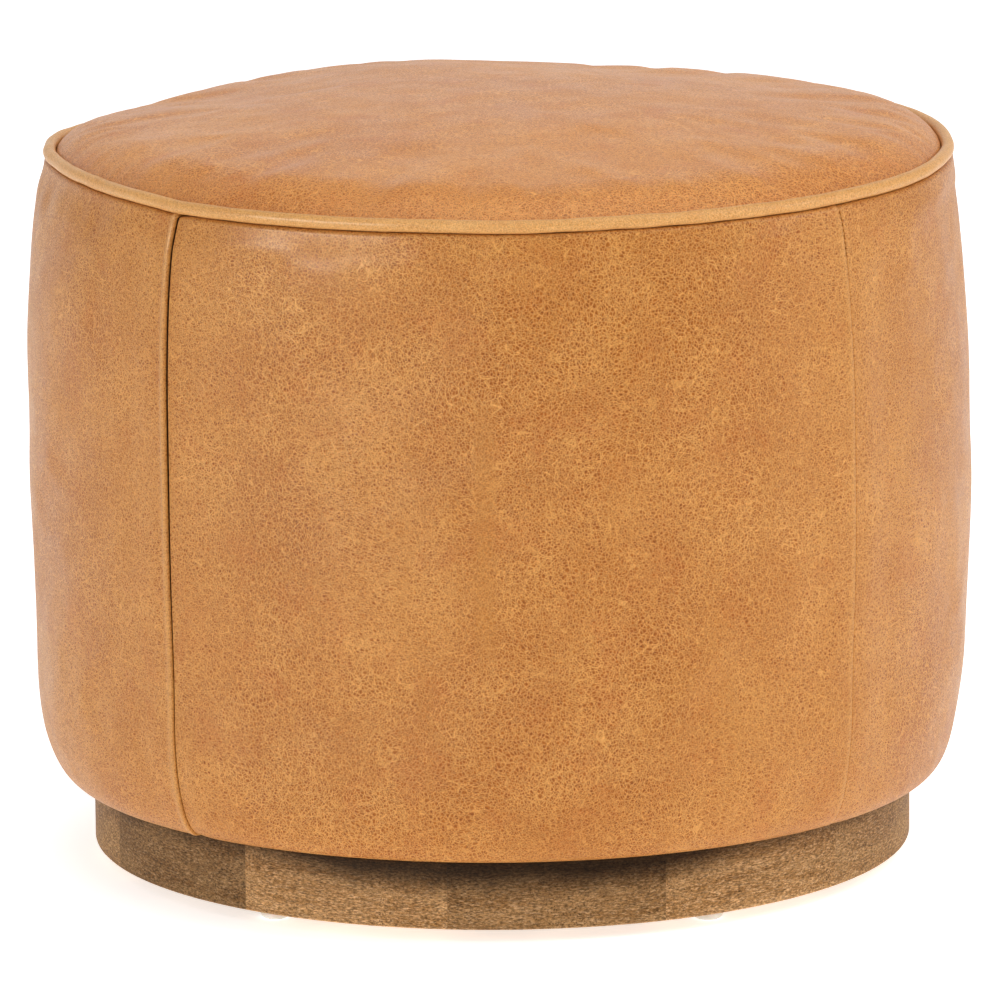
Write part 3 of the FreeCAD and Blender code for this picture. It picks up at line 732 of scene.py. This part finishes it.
def simulated_lifts():
    """Inflates the whole cover as one skin held at its seams, and reads how far it moved."""
    sectors = 300
    phi = ring(sectors)
    form = cover_form(sectors)
    first = coordinates_of(form.data)
    group = form.vertex_groups.new(name="held")
    group.add(np.nonzero(sewn_down(first))[0].tolist(), 1.0, "REPLACE")
    cloth = form.modifiers.new("cloth", "CLOTH")
    settings = cloth.settings
    settings.quality, settings.mass = 6, 0.3
    settings.tension_stiffness = settings.compression_stiffness = 40
    settings.shear_stiffness, settings.bending_stiffness = 20, 6
    settings.use_pressure, settings.uniform_pressure_force = True, PRESSURE
    settings.shrink_min = SHRINK
    settings.effector_weights.gravity = 0
    settings.vertex_group_mass = "held"
    cloth.collision_settings.use_collision = False
    cloth.point_cache.frame_start, cloth.point_cache.frame_end = 1, FRAMES
    for number in range(1, FRAMES + 1):
        bpy.context.scene.frame_set(number)
    moved = form.evaluated_get(bpy.context.evaluated_depsgraph_get())
    before, after = tree_of(form.data, first), tree_of(form.data, coordinates_of(moved.data))
    bpy.context.scene.frame_set(1)
    bpy.data.objects.remove(form)
    middles = [round((azimuth + 45 + turn) / 360 * sectors) % sectors
               for azimuth in SEAMS for turn in range(-14, 15, 4)]

    def lift(place, r, z, out_r, out_z, cap):
        """Outward movement where the profile's normals meet both skins, against the middles of the panels."""
        values = np.zeros((len(r), sectors))
        for row in range(len(r)):
            for column, angle in enumerate(phi):
                direction = Vector(polar(out_r[row], angle, out_z[row])[()])
                start = Vector(polar(r[row], angle, z[row])[()]) - direction * 0.03
                hits = [tree.ray_cast(start, direction, 0.08)[3] for tree in (before, after)]
                if None not in hits:
                    values[row, column] = hits[1] - hits[0]
        values -= values[:, middles].mean(axis=1, keepdims=True)
        return Lift(cap * np.tanh(values / cap), place[0], place[-1])

    rise = np.linspace(HEM_Z + 20 * MM, WALL_TOP - 12 * MM, 62)
    full_r, full_z = wall_profile(0, WALL_TOP, 2 * MM)
    normal_r, normal_z = across(full_r, full_z)
    r, out_r, out_z = (np.interp(rise, full_z, v) for v in (full_r, normal_r, normal_z))
    wall_lift = lift(rise, r, rise, out_r, out_z, WALL_CAP)
    reach = np.linspace(12 * MM, LIP_R - 8 * MM, 44)
    full_r, full_z = seat_profile(0, 2 * MM)
    normal_r, normal_z = across(full_r, full_z)
    z, out_r, out_z = (np.interp(reach, full_r, v) for v in (full_z, -normal_r, -normal_z))
    return wall_lift, lift(reach, reach, z, out_r, out_z, SEAT_CAP)


# Materials

def srgb(red, green, blue, gain=1.0):
    """A colour as it is seen, 0 to 255, as linear values."""
    linear = [c / 255 / 12.92 if c <= 10.3 else ((c / 255 + 0.055) / 1.055) ** 2.4 for c in (red, green, blue)]
    return (*[min(c * gain, 1.0) for c in linear], 1.0)


class Graph:
    """A material's nodes, made by short calls."""

    def __init__(self, name, turn=0.0):
        self.material = bpy.data.materials.new(name)
        self.material.use_nodes = True
        self.tree = self.material.node_tree
        self.shader = self.tree.nodes["Principled BSDF"]
        place = self.add("ShaderNodeTexCoord").outputs["Object"]
        self.place = self.moved(place, turn=turn) if turn else place

    def add(self, kind, inputs=(), **settings):
        node = self.tree.nodes.new(kind)
        for key, value in settings.items():
            setattr(node, key, value)
        for key, value in dict(inputs).items():
            self.put(node.inputs[key], value)
        return node

    def put(self, socket, value):
        if isinstance(value, bpy.types.NodeSocket):
            self.tree.links.new(value, socket)
        else:
            socket.default_value = value

    def moved(self, place=None, scale=(1, 1, 1), shift=(0, 0, 0), turn=0.0):
        node = self.add("ShaderNodeMapping", {"Vector": place or self.place, "Scale": scale, "Location": shift})
        node.inputs["Rotation"].default_value = (0, 0, turn)
        return node.outputs[0]

    def noise(self, scale, detail=2.0, rough=0.5, place=None, colour=False, warp=0.0):
        node = self.add("ShaderNodeTexNoise", {"Vector": place or self.place, "Scale": scale, "Detail": detail,
                                               "Roughness": rough, "Distortion": warp})
        return node.outputs["Color" if colour else 0]

    def cells(self, scale, place=None, feature="F1", random=1.0, output="Distance"):
        node = self.add("ShaderNodeTexVoronoi", {"Vector": place or self.place, "Scale": scale,
                                                 "Randomness": random}, feature=feature)
        return node.outputs[output]

    def math(self, operation, *values):
        return self.add("ShaderNodeMath", enumerate(values), operation=operation).outputs[0]

    times = partialmethod(math, "MULTIPLY")
    linear = partialmethod(math, "MULTIPLY_ADD")
    plus = partialmethod(math, "ADD")
    minus = partialmethod(math, "SUBTRACT")
    most = partialmethod(math, "MAXIMUM")

    def fit(self, value, low, high, to_low=0.0, to_high=1.0):
        """A value eased between two values, from to_low at low to to_high at high."""
        node = self.add("ShaderNodeMapRange", {"Value": value, "From Min": low, "From Max": high,
                                               "To Min": to_low, "To Max": to_high},
                        interpolation_type="SMOOTHSTEP")
        return node.outputs[0]

    def falls(self, value, low, high):
        return self.fit(value, low, high, 1.0, 0.0)

    def mix(self, share, a, b, blend="MIX"):
        node = self.add("ShaderNodeMix", {0: share, 6: a, 7: b}, data_type="RGBA", blend_type=blend)
        return node.outputs[2]

    def between(self, value, low, high, a, b):
        return self.mix(self.fit(value, low, high), a, b)

    def shaded(self, colour, shade):
        grey = self.add("ShaderNodeCombineColor", {0: shade, 1: shade, 2: shade}).outputs[0]
        return self.mix(1.0, colour, grey, "MULTIPLY")

    def grain(self, scale, detail, rough, warp=0.0, shift=(0, 0, 0)):
        """Noise with a scale for each direction."""
        return self.noise(1.0, detail, rough, self.moved(scale=scale, shift=shift), warp=warp)

    def warped(self, scale, amount, place=None):
        """Coordinates bent by a noise."""
        place = place or self.place
        bend = self.add("ShaderNodeVectorMath", {0: self.noise(scale, 2, 0.5, place, True), 1: (0.5, 0.5, 0.5)},
                        operation="SUBTRACT").outputs[0]
        bend = self.add("ShaderNodeVectorMath", {0: bend, "Scale": amount}, operation="SCALE").outputs[0]
        return self.add("ShaderNodeVectorMath", {0: place, 1: bend}, operation="ADD").outputs[0]

    def from_lines(self, azimuth):
        """Distance along the wall from the nearest of four upright lines, a quarter turn apart."""
        x, y, _ = self.parts()
        quarter = math.pi / 2
        angle = self.math("ARCTAN2", x, self.times(y, -1.0))
        turned = self.math("MODULO", self.plus(angle, 4.5 * quarter - math.radians(azimuth)), quarter)
        return self.times(self.math("ABSOLUTE", self.minus(turned, quarter / 2)), BODY_R)

    def parts(self, place=None):
        return self.add("ShaderNodeSeparateXYZ", {0: place or self.place}).outputs

    def bump(self, height, distance, strength=1.0, after=None):
        inputs = {"Height": height, "Distance": distance, "Strength": strength}
        if after:
            inputs["Normal"] = after
        return self.add("ShaderNodeBump", inputs).outputs[0]

    def finish(self, colour, rough, normal=None, **fixed):
        self.put(self.shader.inputs["Base Color"], colour)
        self.put(self.shader.inputs["Roughness"], rough)
        if normal:
            self.put(self.shader.inputs["Normal"], normal)
        for key, value in fixed.items():
            self.shader.inputs[key.replace("_", " ")].default_value = value
        return self.material


def leather(name, spots, ground, pale, hair, blush, worn=None, seam_shade=None, drawn=(150, 150, 560),
            spot_share=1.0, net_share=1.0, grain=1.0, gloss=0.44, ior=1.26, wall=False):
    """Full-grain leather: dye spots in a net of pale hairlines, creases, scratches, cloudy tone and fine grain.

    Scales are per metre. drawn is the scale, for each direction, of grain that is pulled long.
    """
    g = Graph(name)
    spot_scale, small_spot_scale = 520, 860

    def cracks(scale, place, width):
        return g.falls(g.cells(scale, place, "DISTANCE_TO_EDGE"), 0.0, width)

    def patchy(scale, detail, rough, low, high, shift, most=1.0, warp=0.0):
        """Soft patches. Each has a shift of its own, so that they don't line up."""
        return g.fit(g.noise(scale, detail, rough, g.moved(shift=shift), warp=warp), low, high, 0.0, most)

    flow = g.warped(15, 0.034)                      # draws the grain out, one way here and another there
    bent = g.warped(260, 0.0014, flow)
    patches = g.fit(g.noise(13, 3, 0.6), 0.36, 0.64)
    fine_patches = g.fit(g.noise(60, 2, 0.5, flow), 0.35, 0.65)
    coarse, small = (g.falls(g.cells(scale, bent), 0.1, 0.4) for scale in (spot_scale, small_spot_scale))
    strength = g.times(g.linear(patches, 0.12, 0.94), g.linear(fine_patches, 0.35, 0.8))
    dots = g.times(g.most(coarse, g.times(small, 0.8)), g.times(strength, spot_share))
    colour = g.mix(dots, ground, spots)
    # Hairlines between the spots, creases in patches, and grain pulled long where the leather is stretched
    creased = patchy(21, 2, 0.5, 0.4, 0.62, (1.3, 5.1, 0.2))
    stretched = patchy(7, 2, 0.5, 0.46, 0.6, (6.1, 2.9, 4.6))
    if wall:
        stretched = g.most(stretched, g.fit(g.from_lines(SEAMS[0]), 0.02, 0.085, 0.85, 0.0))
    net = g.times(cracks(spot_scale, bent, 0.17), g.linear(creased, 0.2, 0.65))
    fibres = cracks(240, g.warped(21, 0.04, g.moved(shift=(0.4, 0.9, 0.1))), 0.075)
    fibres = g.times(fibres, g.linear(patches, -0.2, 0.95))
    creases = g.times(cracks(120, g.warped(30, 0.03), 0.045), creased)
    pulled = g.times(cracks(1.0, g.moved(g.warped(9, 0.05), scale=drawn), 0.15), stretched)
    lines = g.most(g.most(net, fibres), g.most(creases, g.times(pulled, 0.75)))
    level_lines = g.noise(3.4, 1, 0.4, g.moved(scale=(1, 1, 0.5), shift=(4.3, 2.2, 7.7)))
    scratch = g.falls(g.math("ABSOLUTE", g.minus(level_lines, 0.5)), 0.0, 0.0018)
    lines = g.most(lines, g.times(scratch, patchy(19, 2, 0.5, 0.54, 0.64, (7.7, 0.3, 3.1), 0.7)))
    colour = g.mix(g.times(lines, 0.97 * net_share), colour, hair)
    # Cloudy tone and a reddish blush
    clouds = patchy(7, 3, 0.55, 0.38, 0.68, (3.1, 0.7, 1.9), warp=0.3)
    colour = g.mix(g.times(clouds, 0.15), colour, pale)
    flush = patchy(32, 4, 0.62, 0.5, 0.72, (9.2, 4.4, 2.5), warp=0.4)
    colour = g.mix(g.times(flush, 0.22), colour, blush)
    if wall:
        # Pale upright bands, the fold mark in the middle of a panel, folded edges made pale by rubbing and a
        # painted highlight, and the insides of seams painted dark as shade
        upright = g.fit(g.grain((34, 34, 3.2), 3, 0.6), 0.52, 0.68, 0.0, 0.22)
        level = g.parts()[2]
        fold = g.times(g.fit(g.from_lines(FOLD_MARK_DEG), 0.002, 0.010, 0.42, 0.0), g.fit(level, 0.15, 0.21))
        fold = g.times(fold, g.falls(level, 0.31, 0.35))
        colour = g.mix(g.most(upright, fold), colour, pale)
        edge = g.add("ShaderNodeAttribute", attribute_name="edge").outputs["Fac"]
        # Folded edges painted pale: rubbing, and a painted highlight along the raised roll
        colour = g.mix(g.times(g.most(edge, 0.0), 0.8), colour, worn)
        # Painted shade: the insides of the seams darkened where the gap lies in shadow
        colour = g.mix(g.falls(edge, -0.9, -0.2), colour, seam_shade)
    colour = g.shaded(colour, g.fit(g.noise(1300, 1, 0.5), 0.3, 0.7, 0.82, 1.14))
    rough = g.fit(g.noise(34, 3, 0.6), 0.3, 0.7, gloss - 0.05, gloss + 0.06)
    height = g.minus(g.times(coarse, -0.4), g.times(lines, 0.9))
    normal = g.bump(height, 0.0002 * grain, 0.9)
    normal = g.bump(g.noise(2600, 2, 0.6), 0.00006 * grain, 0.6, normal)
    normal = g.bump(g.noise(85, 3, 0.55), 0.0011 * grain, 0.4, normal)
    return g.finish(colour, g.plus(rough, g.times(dots, 0.05)), normal, IOR=ior, Sheen_Weight=0.02,
                    Sheen_Roughness=0.5, Coat_Weight=0.2, Coat_Roughness=0.3)


def plinth_wood(name, azimuth, tone, seed):
    """Stained hardwood with its grain along the block: pores in dashes and dots, a painted shadow under the
    cover and a foot painted paler as light.
    """
    g = Graph(name, turn=-azimuth)
    shift = (0.37 * seed, 1.13 * seed, 0.71 * seed)
    place = g.moved(shift=shift)
    bands = g.grain((10, 60, 80), 4, 0.6, 0.7, shift)
    fibres = g.grain((150, 900, 1000), 3, 0.7, shift=shift)
    blotches = g.fit(g.noise(20, 3, 0.6, place, warp=0.8), 0.42, 0.62)
    dashes = g.falls(g.cells(1.0, g.moved(scale=(260, 1000, 1050), shift=shift)), 0.14, 0.5)
    specks = g.falls(g.cells(560, g.warped(300, 0.003, place)), 0.14, 0.5)
    colour = g.between(bands, 0.34, 0.66, srgb(146, 105, 60), srgb(176, 135, 88))
    colour = g.mix(g.times(g.fit(fibres, 0.45, 0.68), 0.6), colour, srgb(214, 174, 128))
    density = g.fit(g.noise(38, 2, 0.5, place), 0.3, 0.7, 0.55, 1.0)
    pores = g.times(g.mix(blotches, dashes, specks), density)
    colour = g.mix(g.times(pores, 0.72), colour, srgb(74, 44, 14))
    # By height: a painted shadow of the cover's overhang that creeps higher at the front, a pale line along the
    # lower arris, and a foot painted paler as light from the floor
    whole = g.add("ShaderNodeTexCoord").outputs["Object"]
    _, front, level = g.parts(whole)
    shadow_line = g.linear(g.noise(24, 2, 0.5), 0.010, level)
    front_shadow_rise = g.fit(front, -0.255, -0.19, 0.012, 0.0)
    # Painted shadow: the wood's top darkened where the cover's overhang shades it
    colour = g.mix(g.fit(g.plus(shadow_line, front_shadow_rise), 0.041, 0.062, 0.0, 0.93), colour, srgb(28, 15, 4))
    worn = g.times(g.falls(level, 0.0083, 0.0094), g.fit(g.noise(70, 2, 0.5), 0.3, 0.6, 0.2, 0.8))
    colour = g.mix(worn, colour, srgb(216, 180, 138))
    grit = g.fit(g.grain((420, 1000, 1000), 3, 0.75), 0.34, 0.66, 0.5, 1.42)
    # Painted light: the foot painted paler, as lit from the floor; the block's tone also carries painted light
    # and shade
    colour = g.shaded(colour, g.times(g.times(grit, g.fit(level, 0.010, 0.034, 1.1, 1.0)), tone))
    height = g.minus(g.times(fibres, 0.5), pores)
    return g.finish(colour, g.fit(bands, 0.3, 0.7, 0.52, 0.64), g.bump(height, 0.0002, 0.8), IOR=1.16)


def sawn_wood(name, light, dark, scale):
    """Bare softwood: growth rings, fibres and a few darker streaks."""
    g = Graph(name)
    rings = g.grain(scale, 3, 0.5, 1.2)
    stripes = g.math("FRACT", g.times(rings, 9.0))
    fibres = g.grain(tuple(8 * s for s in scale), 3, 0.6)
    colour = g.between(stripes, 0.15, 0.95, light, dark)
    colour = g.mix(g.times(g.fit(fibres, 0.45, 0.7), 0.4), colour, dark)
    height = g.plus(fibres, g.times(stripes, 0.3))
    return g.finish(colour, g.fit(fibres, 0.3, 0.7, 0.6, 0.78), g.bump(height, 0.0003, 0.6))


def plywood(name):
    """Birch plywood: faces with long grain, layers at the edges."""
    g = Graph(name)
    face = g.grain((9, 110, 30), 4, 0.55, 0.8)
    layer = 3 * MM
    ply = g.fit(g.math("FRACT", g.times(g.parts()[2], 1 / layer)), 0.42, 0.58)
    upright = g.math("ABSOLUTE", g.parts(g.add("ShaderNodeNewGeometry").outputs["True Normal"])[2])
    colour = g.between(face, 0.35, 0.65, srgb(214, 184, 140), srgb(186, 148, 102))
    colour = g.mix(g.times(ply, g.fit(upright, 0.2, 0.8, 0.75, 0.0)), colour, srgb(150, 110, 70))
    return g.finish(colour, 0.62, g.bump(face, 0.0002, 0.5))


def hardboard(name):
    """Pressed brown fibres with darker clouds."""
    g = Graph(name)
    felt = g.noise(900, 4, 0.7)
    clouds = g.noise(24, 2, 0.5)
    colour = g.between(clouds, 0.35, 0.65, srgb(122, 86, 52), srgb(142, 104, 66))
    colour = g.mix(g.fit(felt, 0.4, 0.65, 0.0, 0.6), colour, srgb(88, 60, 36))
    return g.finish(colour, 0.7, g.bump(felt, 0.0002, 0.6))


def woven(name, light, dark, pitch):
    """Plain weave in the two level directions."""
    g = Graph(name)
    x, y, _ = g.parts()
    weave = g.times(*(g.math("SINE", g.times(v, 2 * math.pi / pitch)) for v in (x, y)))
    fuzz = g.noise(1800, 2, 0.6)
    colour = g.between(weave, -0.9, 0.9, dark, light)
    colour = g.mix(g.times(g.fit(fuzz, 0.4, 0.7), 0.35), colour, light)
    height = g.plus(g.times(weave, 0.5), g.times(fuzz, 0.4))
    return g.finish(colour, 0.85, g.bump(height, 0.25 * pitch, 0.6), Sheen_Weight=0.15)


def fleece(name, light, dark):
    """Wadding: matted soft fibres."""
    g = Graph(name)
    place = g.warped(120, 0.008)
    fibres = g.noise(700, 4, 0.75, place, warp=1.5)
    clumps = g.noise(60, 3, 0.6, place)
    colour = g.between(fibres, 0.35, 0.68, dark, light)
    height = g.plus(g.times(fibres, 0.4), clumps)
    return g.finish(colour, 0.95, g.bump(height, 0.0012, 0.7), Sheen_Weight=0.4)


def foam(name):
    """Open cells, yellowed in places."""
    g = Graph(name)
    holes = g.cells(900)
    colour = g.between(holes, 0.1, 0.6, srgb(188, 170, 112), srgb(236, 224, 172))
    colour = g.mix(g.fit(g.noise(10, 2, 0.5), 0.4, 0.7, 0.0, 0.3), colour, srgb(222, 196, 128))
    return g.finish(colour, 0.9, g.bump(holes, 0.0006, 0.7))


def felted_cloth(name):
    """Black non-woven cloth with its grid of small bonded points."""
    g = Graph(name)
    fibres = g.noise(1300, 4, 0.75, g.warped(400, 0.002))
    points = g.cells(560, random=0.0)
    colour = g.between(fibres, 0.35, 0.7, srgb(20, 20, 21), srgb(52, 51, 51))
    colour = g.mix(g.fit(points, 0.2, 0.34, 0.6, 0.0), colour, srgb(14, 14, 15))
    height = g.plus(fibres, g.fit(points, 0.2, 0.45))
    return g.finish(colour, 0.85, g.bump(height, 0.0003, 0.7), Sheen_Weight=0.1)


def thread(name, light, dark):
    """Twisted yarn."""
    g = Graph(name)
    twist = g.noise(2600, 2, 0.5, g.warped(900, 0.001))
    colour = g.between(twist, 0.38, 0.62, dark, light)
    return g.finish(colour, g.fit(twist, 0.3, 0.7, 0.5, 0.7), g.bump(twist, 0.0002, 0.7), Sheen_Weight=0.2)


def steel(name):
    """Brushed zinc-plated steel."""
    g = Graph(name)
    brushed = g.noise(500, 3, 0.6, g.moved(scale=(1, 1, 0.2)))
    colour = g.between(brushed, 0.35, 0.65, srgb(150, 150, 152), srgb(192, 192, 190))
    rough = g.fit(g.noise(160, 3, 0.6), 0.3, 0.7, 0.25, 0.5)
    return g.finish(colour, rough, g.bump(brushed, 0.00004, 0.5), Metallic=1.0)


def glide_plastic(name):
    """Milky moulded plastic, scuffed under the foot."""
    g = Graph(name)
    scuffs = g.noise(420, 3, 0.65, g.moved(scale=(1, 0.25, 1)))
    height = g.parts()[2]
    worn = g.times(g.falls(height, 0.0, 0.0016), g.fit(scuffs, 0.45, 0.65))
    colour = g.between(g.noise(120, 2, 0.5), 0.3, 0.7, srgb(224, 222, 214), srgb(240, 239, 233))
    colour = g.mix(g.times(worn, 0.6), colour, srgb(168, 160, 146))
    rough = g.plus(g.times(worn, 0.3), g.fit(scuffs, 0.3, 0.7, 0.28, 0.38))
    return g.finish(colour, rough, g.bump(scuffs, 0.00004, 0.4), Subsurface_Weight=0.2, Subsurface_Scale=0.004)


# Level cloth and webbing

def cloth_disc(name, node, slot, material, thickness, sag, held_r):
    """A cloth disc, flat where it is held and sagging a little inside."""
    low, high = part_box(node)
    edge = high.x
    r = np.linspace(0, edge, 61)[1:, None]
    phi = ring(240)[None, :]
    ruffle = ripples(61, 9, (3, 16), (3, 9), 0.22)(phi, r) * smooth(r, 5 * MM, 90 * MM)
    slack = (1 - smooth(r, held_r * 0.55, held_r)) * (1 + ruffle)
    points = polar(r, phi, low.z - sag * slack)
    piece = mesh_piece(name, *closed_rings(points, first=points[0, :, 2].mean()), node, slot, material)
    thicken(piece, thickness)


STRAP_W, STRAP_T, STRAP_PITCH, STRAPS = 50 * MM, 1.4 * MM, 75 * MM, 5
STRAP_HALF = ((-1, 0.25), (-0.98, 0.0), (-0.9, 0.06), (0, 0.1), (0.9, 0.06), (0.98, 0.0), (1, 0.25))
STRAP_SECTION = np.array([*STRAP_HALF, *((x, 1 - z) for x, z in reversed(STRAP_HALF))])


def webbing(name, node, first_level, lengthwise, material):
    """Five straps woven over and under the five that cross them."""
    low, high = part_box(node)
    levels = (low.z, high.z - STRAP_T)
    centres = (np.arange(STRAPS) - (STRAPS - 1) / 2) * STRAP_PITCH
    knots = np.concatenate([(c - STRAP_W / 2, c + STRAP_W / 2) for c in centres])
    reach = math.hypot(max(high.x, high.y), STRAP_W / 2)
    steps, sides = 180, len(STRAP_SECTION)
    ends = np.array([np.arange(sides)[::-1], (steps - 1) * sides + np.arange(sides)])
    points, faces = [], []
    for row, offset in enumerate(centres):
        half = math.sqrt(reach**2 - (abs(offset) + STRAP_W / 2) ** 2)
        x = np.linspace(-half, half, steps)
        crossings = [levels[(row + column + first_level) % 2] for column in range(STRAPS)]
        z = np.interp(x, knots, np.repeat(crossings, 2))
        along, y, up = np.broadcast_arrays(x[:, None], offset + STRAP_SECTION[None, :, 0] * STRAP_W / 2,
                                           z[:, None] + STRAP_SECTION[None, :, 1] * STRAP_T)
        points.append(np.stack([-y, along, up] if lengthwise else [along, y, up], -1).reshape(-1, 3))
        faces += [quads(steps, sides, wrap_columns=True) + row * steps * sides, ends + row * steps * sides]
    piece = mesh_piece(name, np.concatenate(points), faces, node, "webbing", material)
    flip_if_inside_out(piece)


# The whole object

def dress(node, material):
    """Gives a CAD part its material."""
    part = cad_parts[node]
    if part.data.materials:
        for slot in part.material_slots:
            slot.material = material
    else:
        part.data.materials.append(material)


# worn is the pale of the folded seam edges, rubbed and with a painted highlight; the darkest colour is painted
# shade inside the seams
AMBER = dict(spots=(127, 62, 0), ground=(161, 90, 14), pale=(184, 120, 47), hair=(215, 154, 80),
             blush=(169, 82, 17), worn=(206, 148, 80), seam_shade=(52, 28, 8))
STRAW = dict(spots=(172, 106, 36), ground=(204, 146, 78), pale=(216, 164, 98), hair=(230, 180, 118),
             blush=(200, 130, 64))
# Painted light: the seat's leather is the wall's, painted lighter because the seat is lit at a flatter angle
SEAT_PAINTED_LIGHT = 1.3                   # the seat is lit at a flatter angle


def build_cover(stuffing):
    def shades(tones, gain=1.0):
        return {part: srgb(*tone, gain) for part, tone in tones.items()}

    wall = leather("leather_wall", **shades(AMBER), wall=True)
    # The seat's copy of the wall's leather, painted lighter as painted light
    seat = leather("leather_seat", **shades(AMBER, SEAT_PAINTED_LIGHT), drawn=(170, 540, 540), spot_share=0.75,
                   net_share=0.75, ior=1.42)
    strip = leather("leather_welt", **shades(STRAW), spot_share=0.5, net_share=0.5, grain=0.6)
    for side in PANELS:
        wall_panel(side, wall, stuffing)
    seat_panel(seat, stuffing)
    welt_cover(strip)
    welt_cord(thread("cord_cotton", srgb(226, 216, 192), srgb(196, 182, 152)))
    brown_thread = thread("brown_thread", srgb(122, 78, 44), srgb(70, 42, 24))
    side_seam_stitches(brown_thread, stuffing)
    welt_seam_stitches(brown_thread)


def build_inside(stuffing):
    pads(fleece("white_wadding", srgb(244, 243, 238), srgb(214, 212, 204)), foam("yellow_foam"), stuffing)
    black = felted_cloth("black_cloth")
    cloth_disc("dust_cover_cloth", "dust_cover", "black_cloth", black, 0.4 * MM, 2.2 * MM, 170 * MM)
    cloth_disc("lining_cloth", "webbing_lining", "black_cloth", black, 0.28 * MM, 0.0, 200 * MM)
    jute = woven("jute_webbing", srgb(186, 160, 116), srgb(126, 100, 64), 2.4 * MM)
    webbing("webbing_across", "webbing_straps_across", 0, False, jute)
    webbing("webbing_lengthwise", "webbing_straps_lengthwise", 1, True, jute)


# How light each block of the plinth is: each block's own tone, with the light and shade that falls on it
# painted in as well
PLINTH_TONES_AND_SHADE = (0.97, 0.84, 0.88, 0.83, 0.9, 0.82, 0.88, 0.84, 0.76, 0.55, 1.0, 0.75)
STEEL_PARTS = ("top_ring_screws", "deck_screws", "plinth_screws", "webbing_staples", "dust_cover_staples",
               "hem_staples", "glide_nails")


def build_frame():
    # Each block's tone carries painted light and shade as well as its own colour
    for i, tone in enumerate(PLINTH_TONES_AND_SHADE):
        node = f"plinth_segment_{i + 1:02d}"
        low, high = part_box(node)
        azimuth = math.atan2(low.x + high.x, -(low.y + high.y))
        dress(node, plinth_wood(f"plinth_wood_{i + 1:02d}", azimuth, tone, i))
    pine = sawn_wood("pine", srgb(224, 192, 142), srgb(190, 146, 92), (60, 60, 5))
    ply, board = plywood("birch_plywood"), hardboard("brown_hardboard")
    metal, plastic = steel("zinc_steel"), glide_plastic("milky_plastic")
    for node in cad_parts:
        if node.startswith(("frame_post", "plinth_cleat")):
            dress(node, pine)
    for node, material in (("bottom_deck", ply), ("top_ring", ply), ("wall_liner", board),
                           *((node, metal) for node in STEEL_PARTS),
                           *((f"glide_{i + 1}", plastic) for i in range(5))):
        dress(node, material)


# Floor, light and camera

FLOOR_HALF, FLOOR_LINES = 60.0, 13


def build_floor():
    steps = np.linspace(-FLOOR_HALF, FLOOR_HALF, FLOOR_LINES)
    mesh = bpy.data.meshes.new("floor")
    mesh.from_pydata([(x, y, 0) for y in steps for x in steps], [], quads(FLOOR_LINES, FLOOR_LINES).tolist())
    floor = bpy.data.objects.new("floor", mesh)
    bpy.context.scene.collection.objects.link(floor)
    g = Graph("pale_floor")
    colour = g.mix(g.noise(30, 2, 0.5), srgb(247, 247, 247), srgb(250, 250, 250))
    mesh.materials.append(g.finish(colour, 0.9, Emission_Color=(1, 1, 1, 1), Emission_Strength=0.58))


def area_light(name, azimuth, distance, height, size, power, aim=0.25, gloss_only=False, tint=(1, 1, 1)):
    """A soft box that faces the axis at height aim."""
    lamp = bpy.data.lights.new(name, "AREA")
    lamp.shape, lamp.size, lamp.size_y = "RECTANGLE", size[0], size[1]
    lamp.energy = power
    lamp.color = tint
    lamp_object = bpy.data.objects.new(name, lamp)
    angle = math.radians(azimuth)
    lamp_object.location = (distance * math.sin(angle), -distance * math.cos(angle), height)
    to_middle = Vector((0, 0, aim)) - lamp_object.location
    lamp_object.rotation_euler = to_middle.to_track_quat("-Z", "Y").to_euler()
    bpy.context.scene.collection.objects.link(lamp_object)
    lamp_object.visible_diffuse = not gloss_only


def build_light():
    """A white studio, brighter behind the object, with two lamps that only show in the gloss."""
    world = bpy.data.worlds.new("studio")
    world.use_nodes = True
    tree = world.node_tree
    tree.nodes["Background"].inputs["Color"].default_value = (1, 1, 1, 1)
    towards = tree.nodes.new("ShaderNodeTexCoord")
    split = tree.nodes.new("ShaderNodeSeparateXYZ")
    behind = tree.nodes.new("ShaderNodeMapRange")
    behind.interpolation_type = "SMOOTHSTEP"
    for key, value in (("From Min", 0.64), ("From Max", 0.98), ("To Min", 0.52), ("To Max", 0.95)):
        behind.inputs[key].default_value = value
    tree.links.new(towards.outputs["Generated"], split.inputs[0])
    tree.links.new(split.outputs["Y"], behind.inputs["Value"])
    tree.links.new(behind.outputs[0], tree.nodes["Background"].inputs["Strength"])
    bpy.context.scene.world = world
    area_light("key", -60, 3.0, 1.0, (1.1, 0.7), 9, aim=0.4)
    area_light("left_gleam", -42, 3.0, 1.04, (2.2, 0.66), 140, 0.4, True, (1.0, 0.92, 0.8))
    area_light("right_gleam", 74, 3.0, 1.05, (0.8, 0.6), 19, 0.4, True)
    area_light("fill", 66, 2.6, 2.4, (2.2, 2.2), 36)
    area_light("top", 20, 0.6, 3.2, (2.6, 2.6), 32)
    bpy.context.scene.view_settings.view_transform = "Standard"


CAMERA_PLACE = (0, -5.0, 1.25845)
CAMERA_DOWN_DEG, CAMERA_ROLL_DEG = 11.75, -0.44
SENSOR_MM, LENS_MM = 36, 294.22


def build_camera():
    lens = bpy.data.cameras.new("camera")
    lens.sensor_width, lens.lens = SENSOR_MM, LENS_MM
    camera = bpy.data.objects.new("camera", lens)
    bpy.context.scene.collection.objects.link(camera)
    tilt = Matrix.Rotation(math.radians(90 - CAMERA_DOWN_DEG), 4, "X")
    roll = Matrix.Rotation(math.radians(CAMERA_ROLL_DEG), 4, "Z")
    camera.matrix_world = Matrix.Translation(CAMERA_PLACE) @ tilt @ roll
    bpy.context.scene.camera = camera


stuffing = Stuffing(*simulated_lifts())
build_cover(stuffing)
build_inside(stuffing)
build_frame()
build_floor()
build_light()
build_camera()
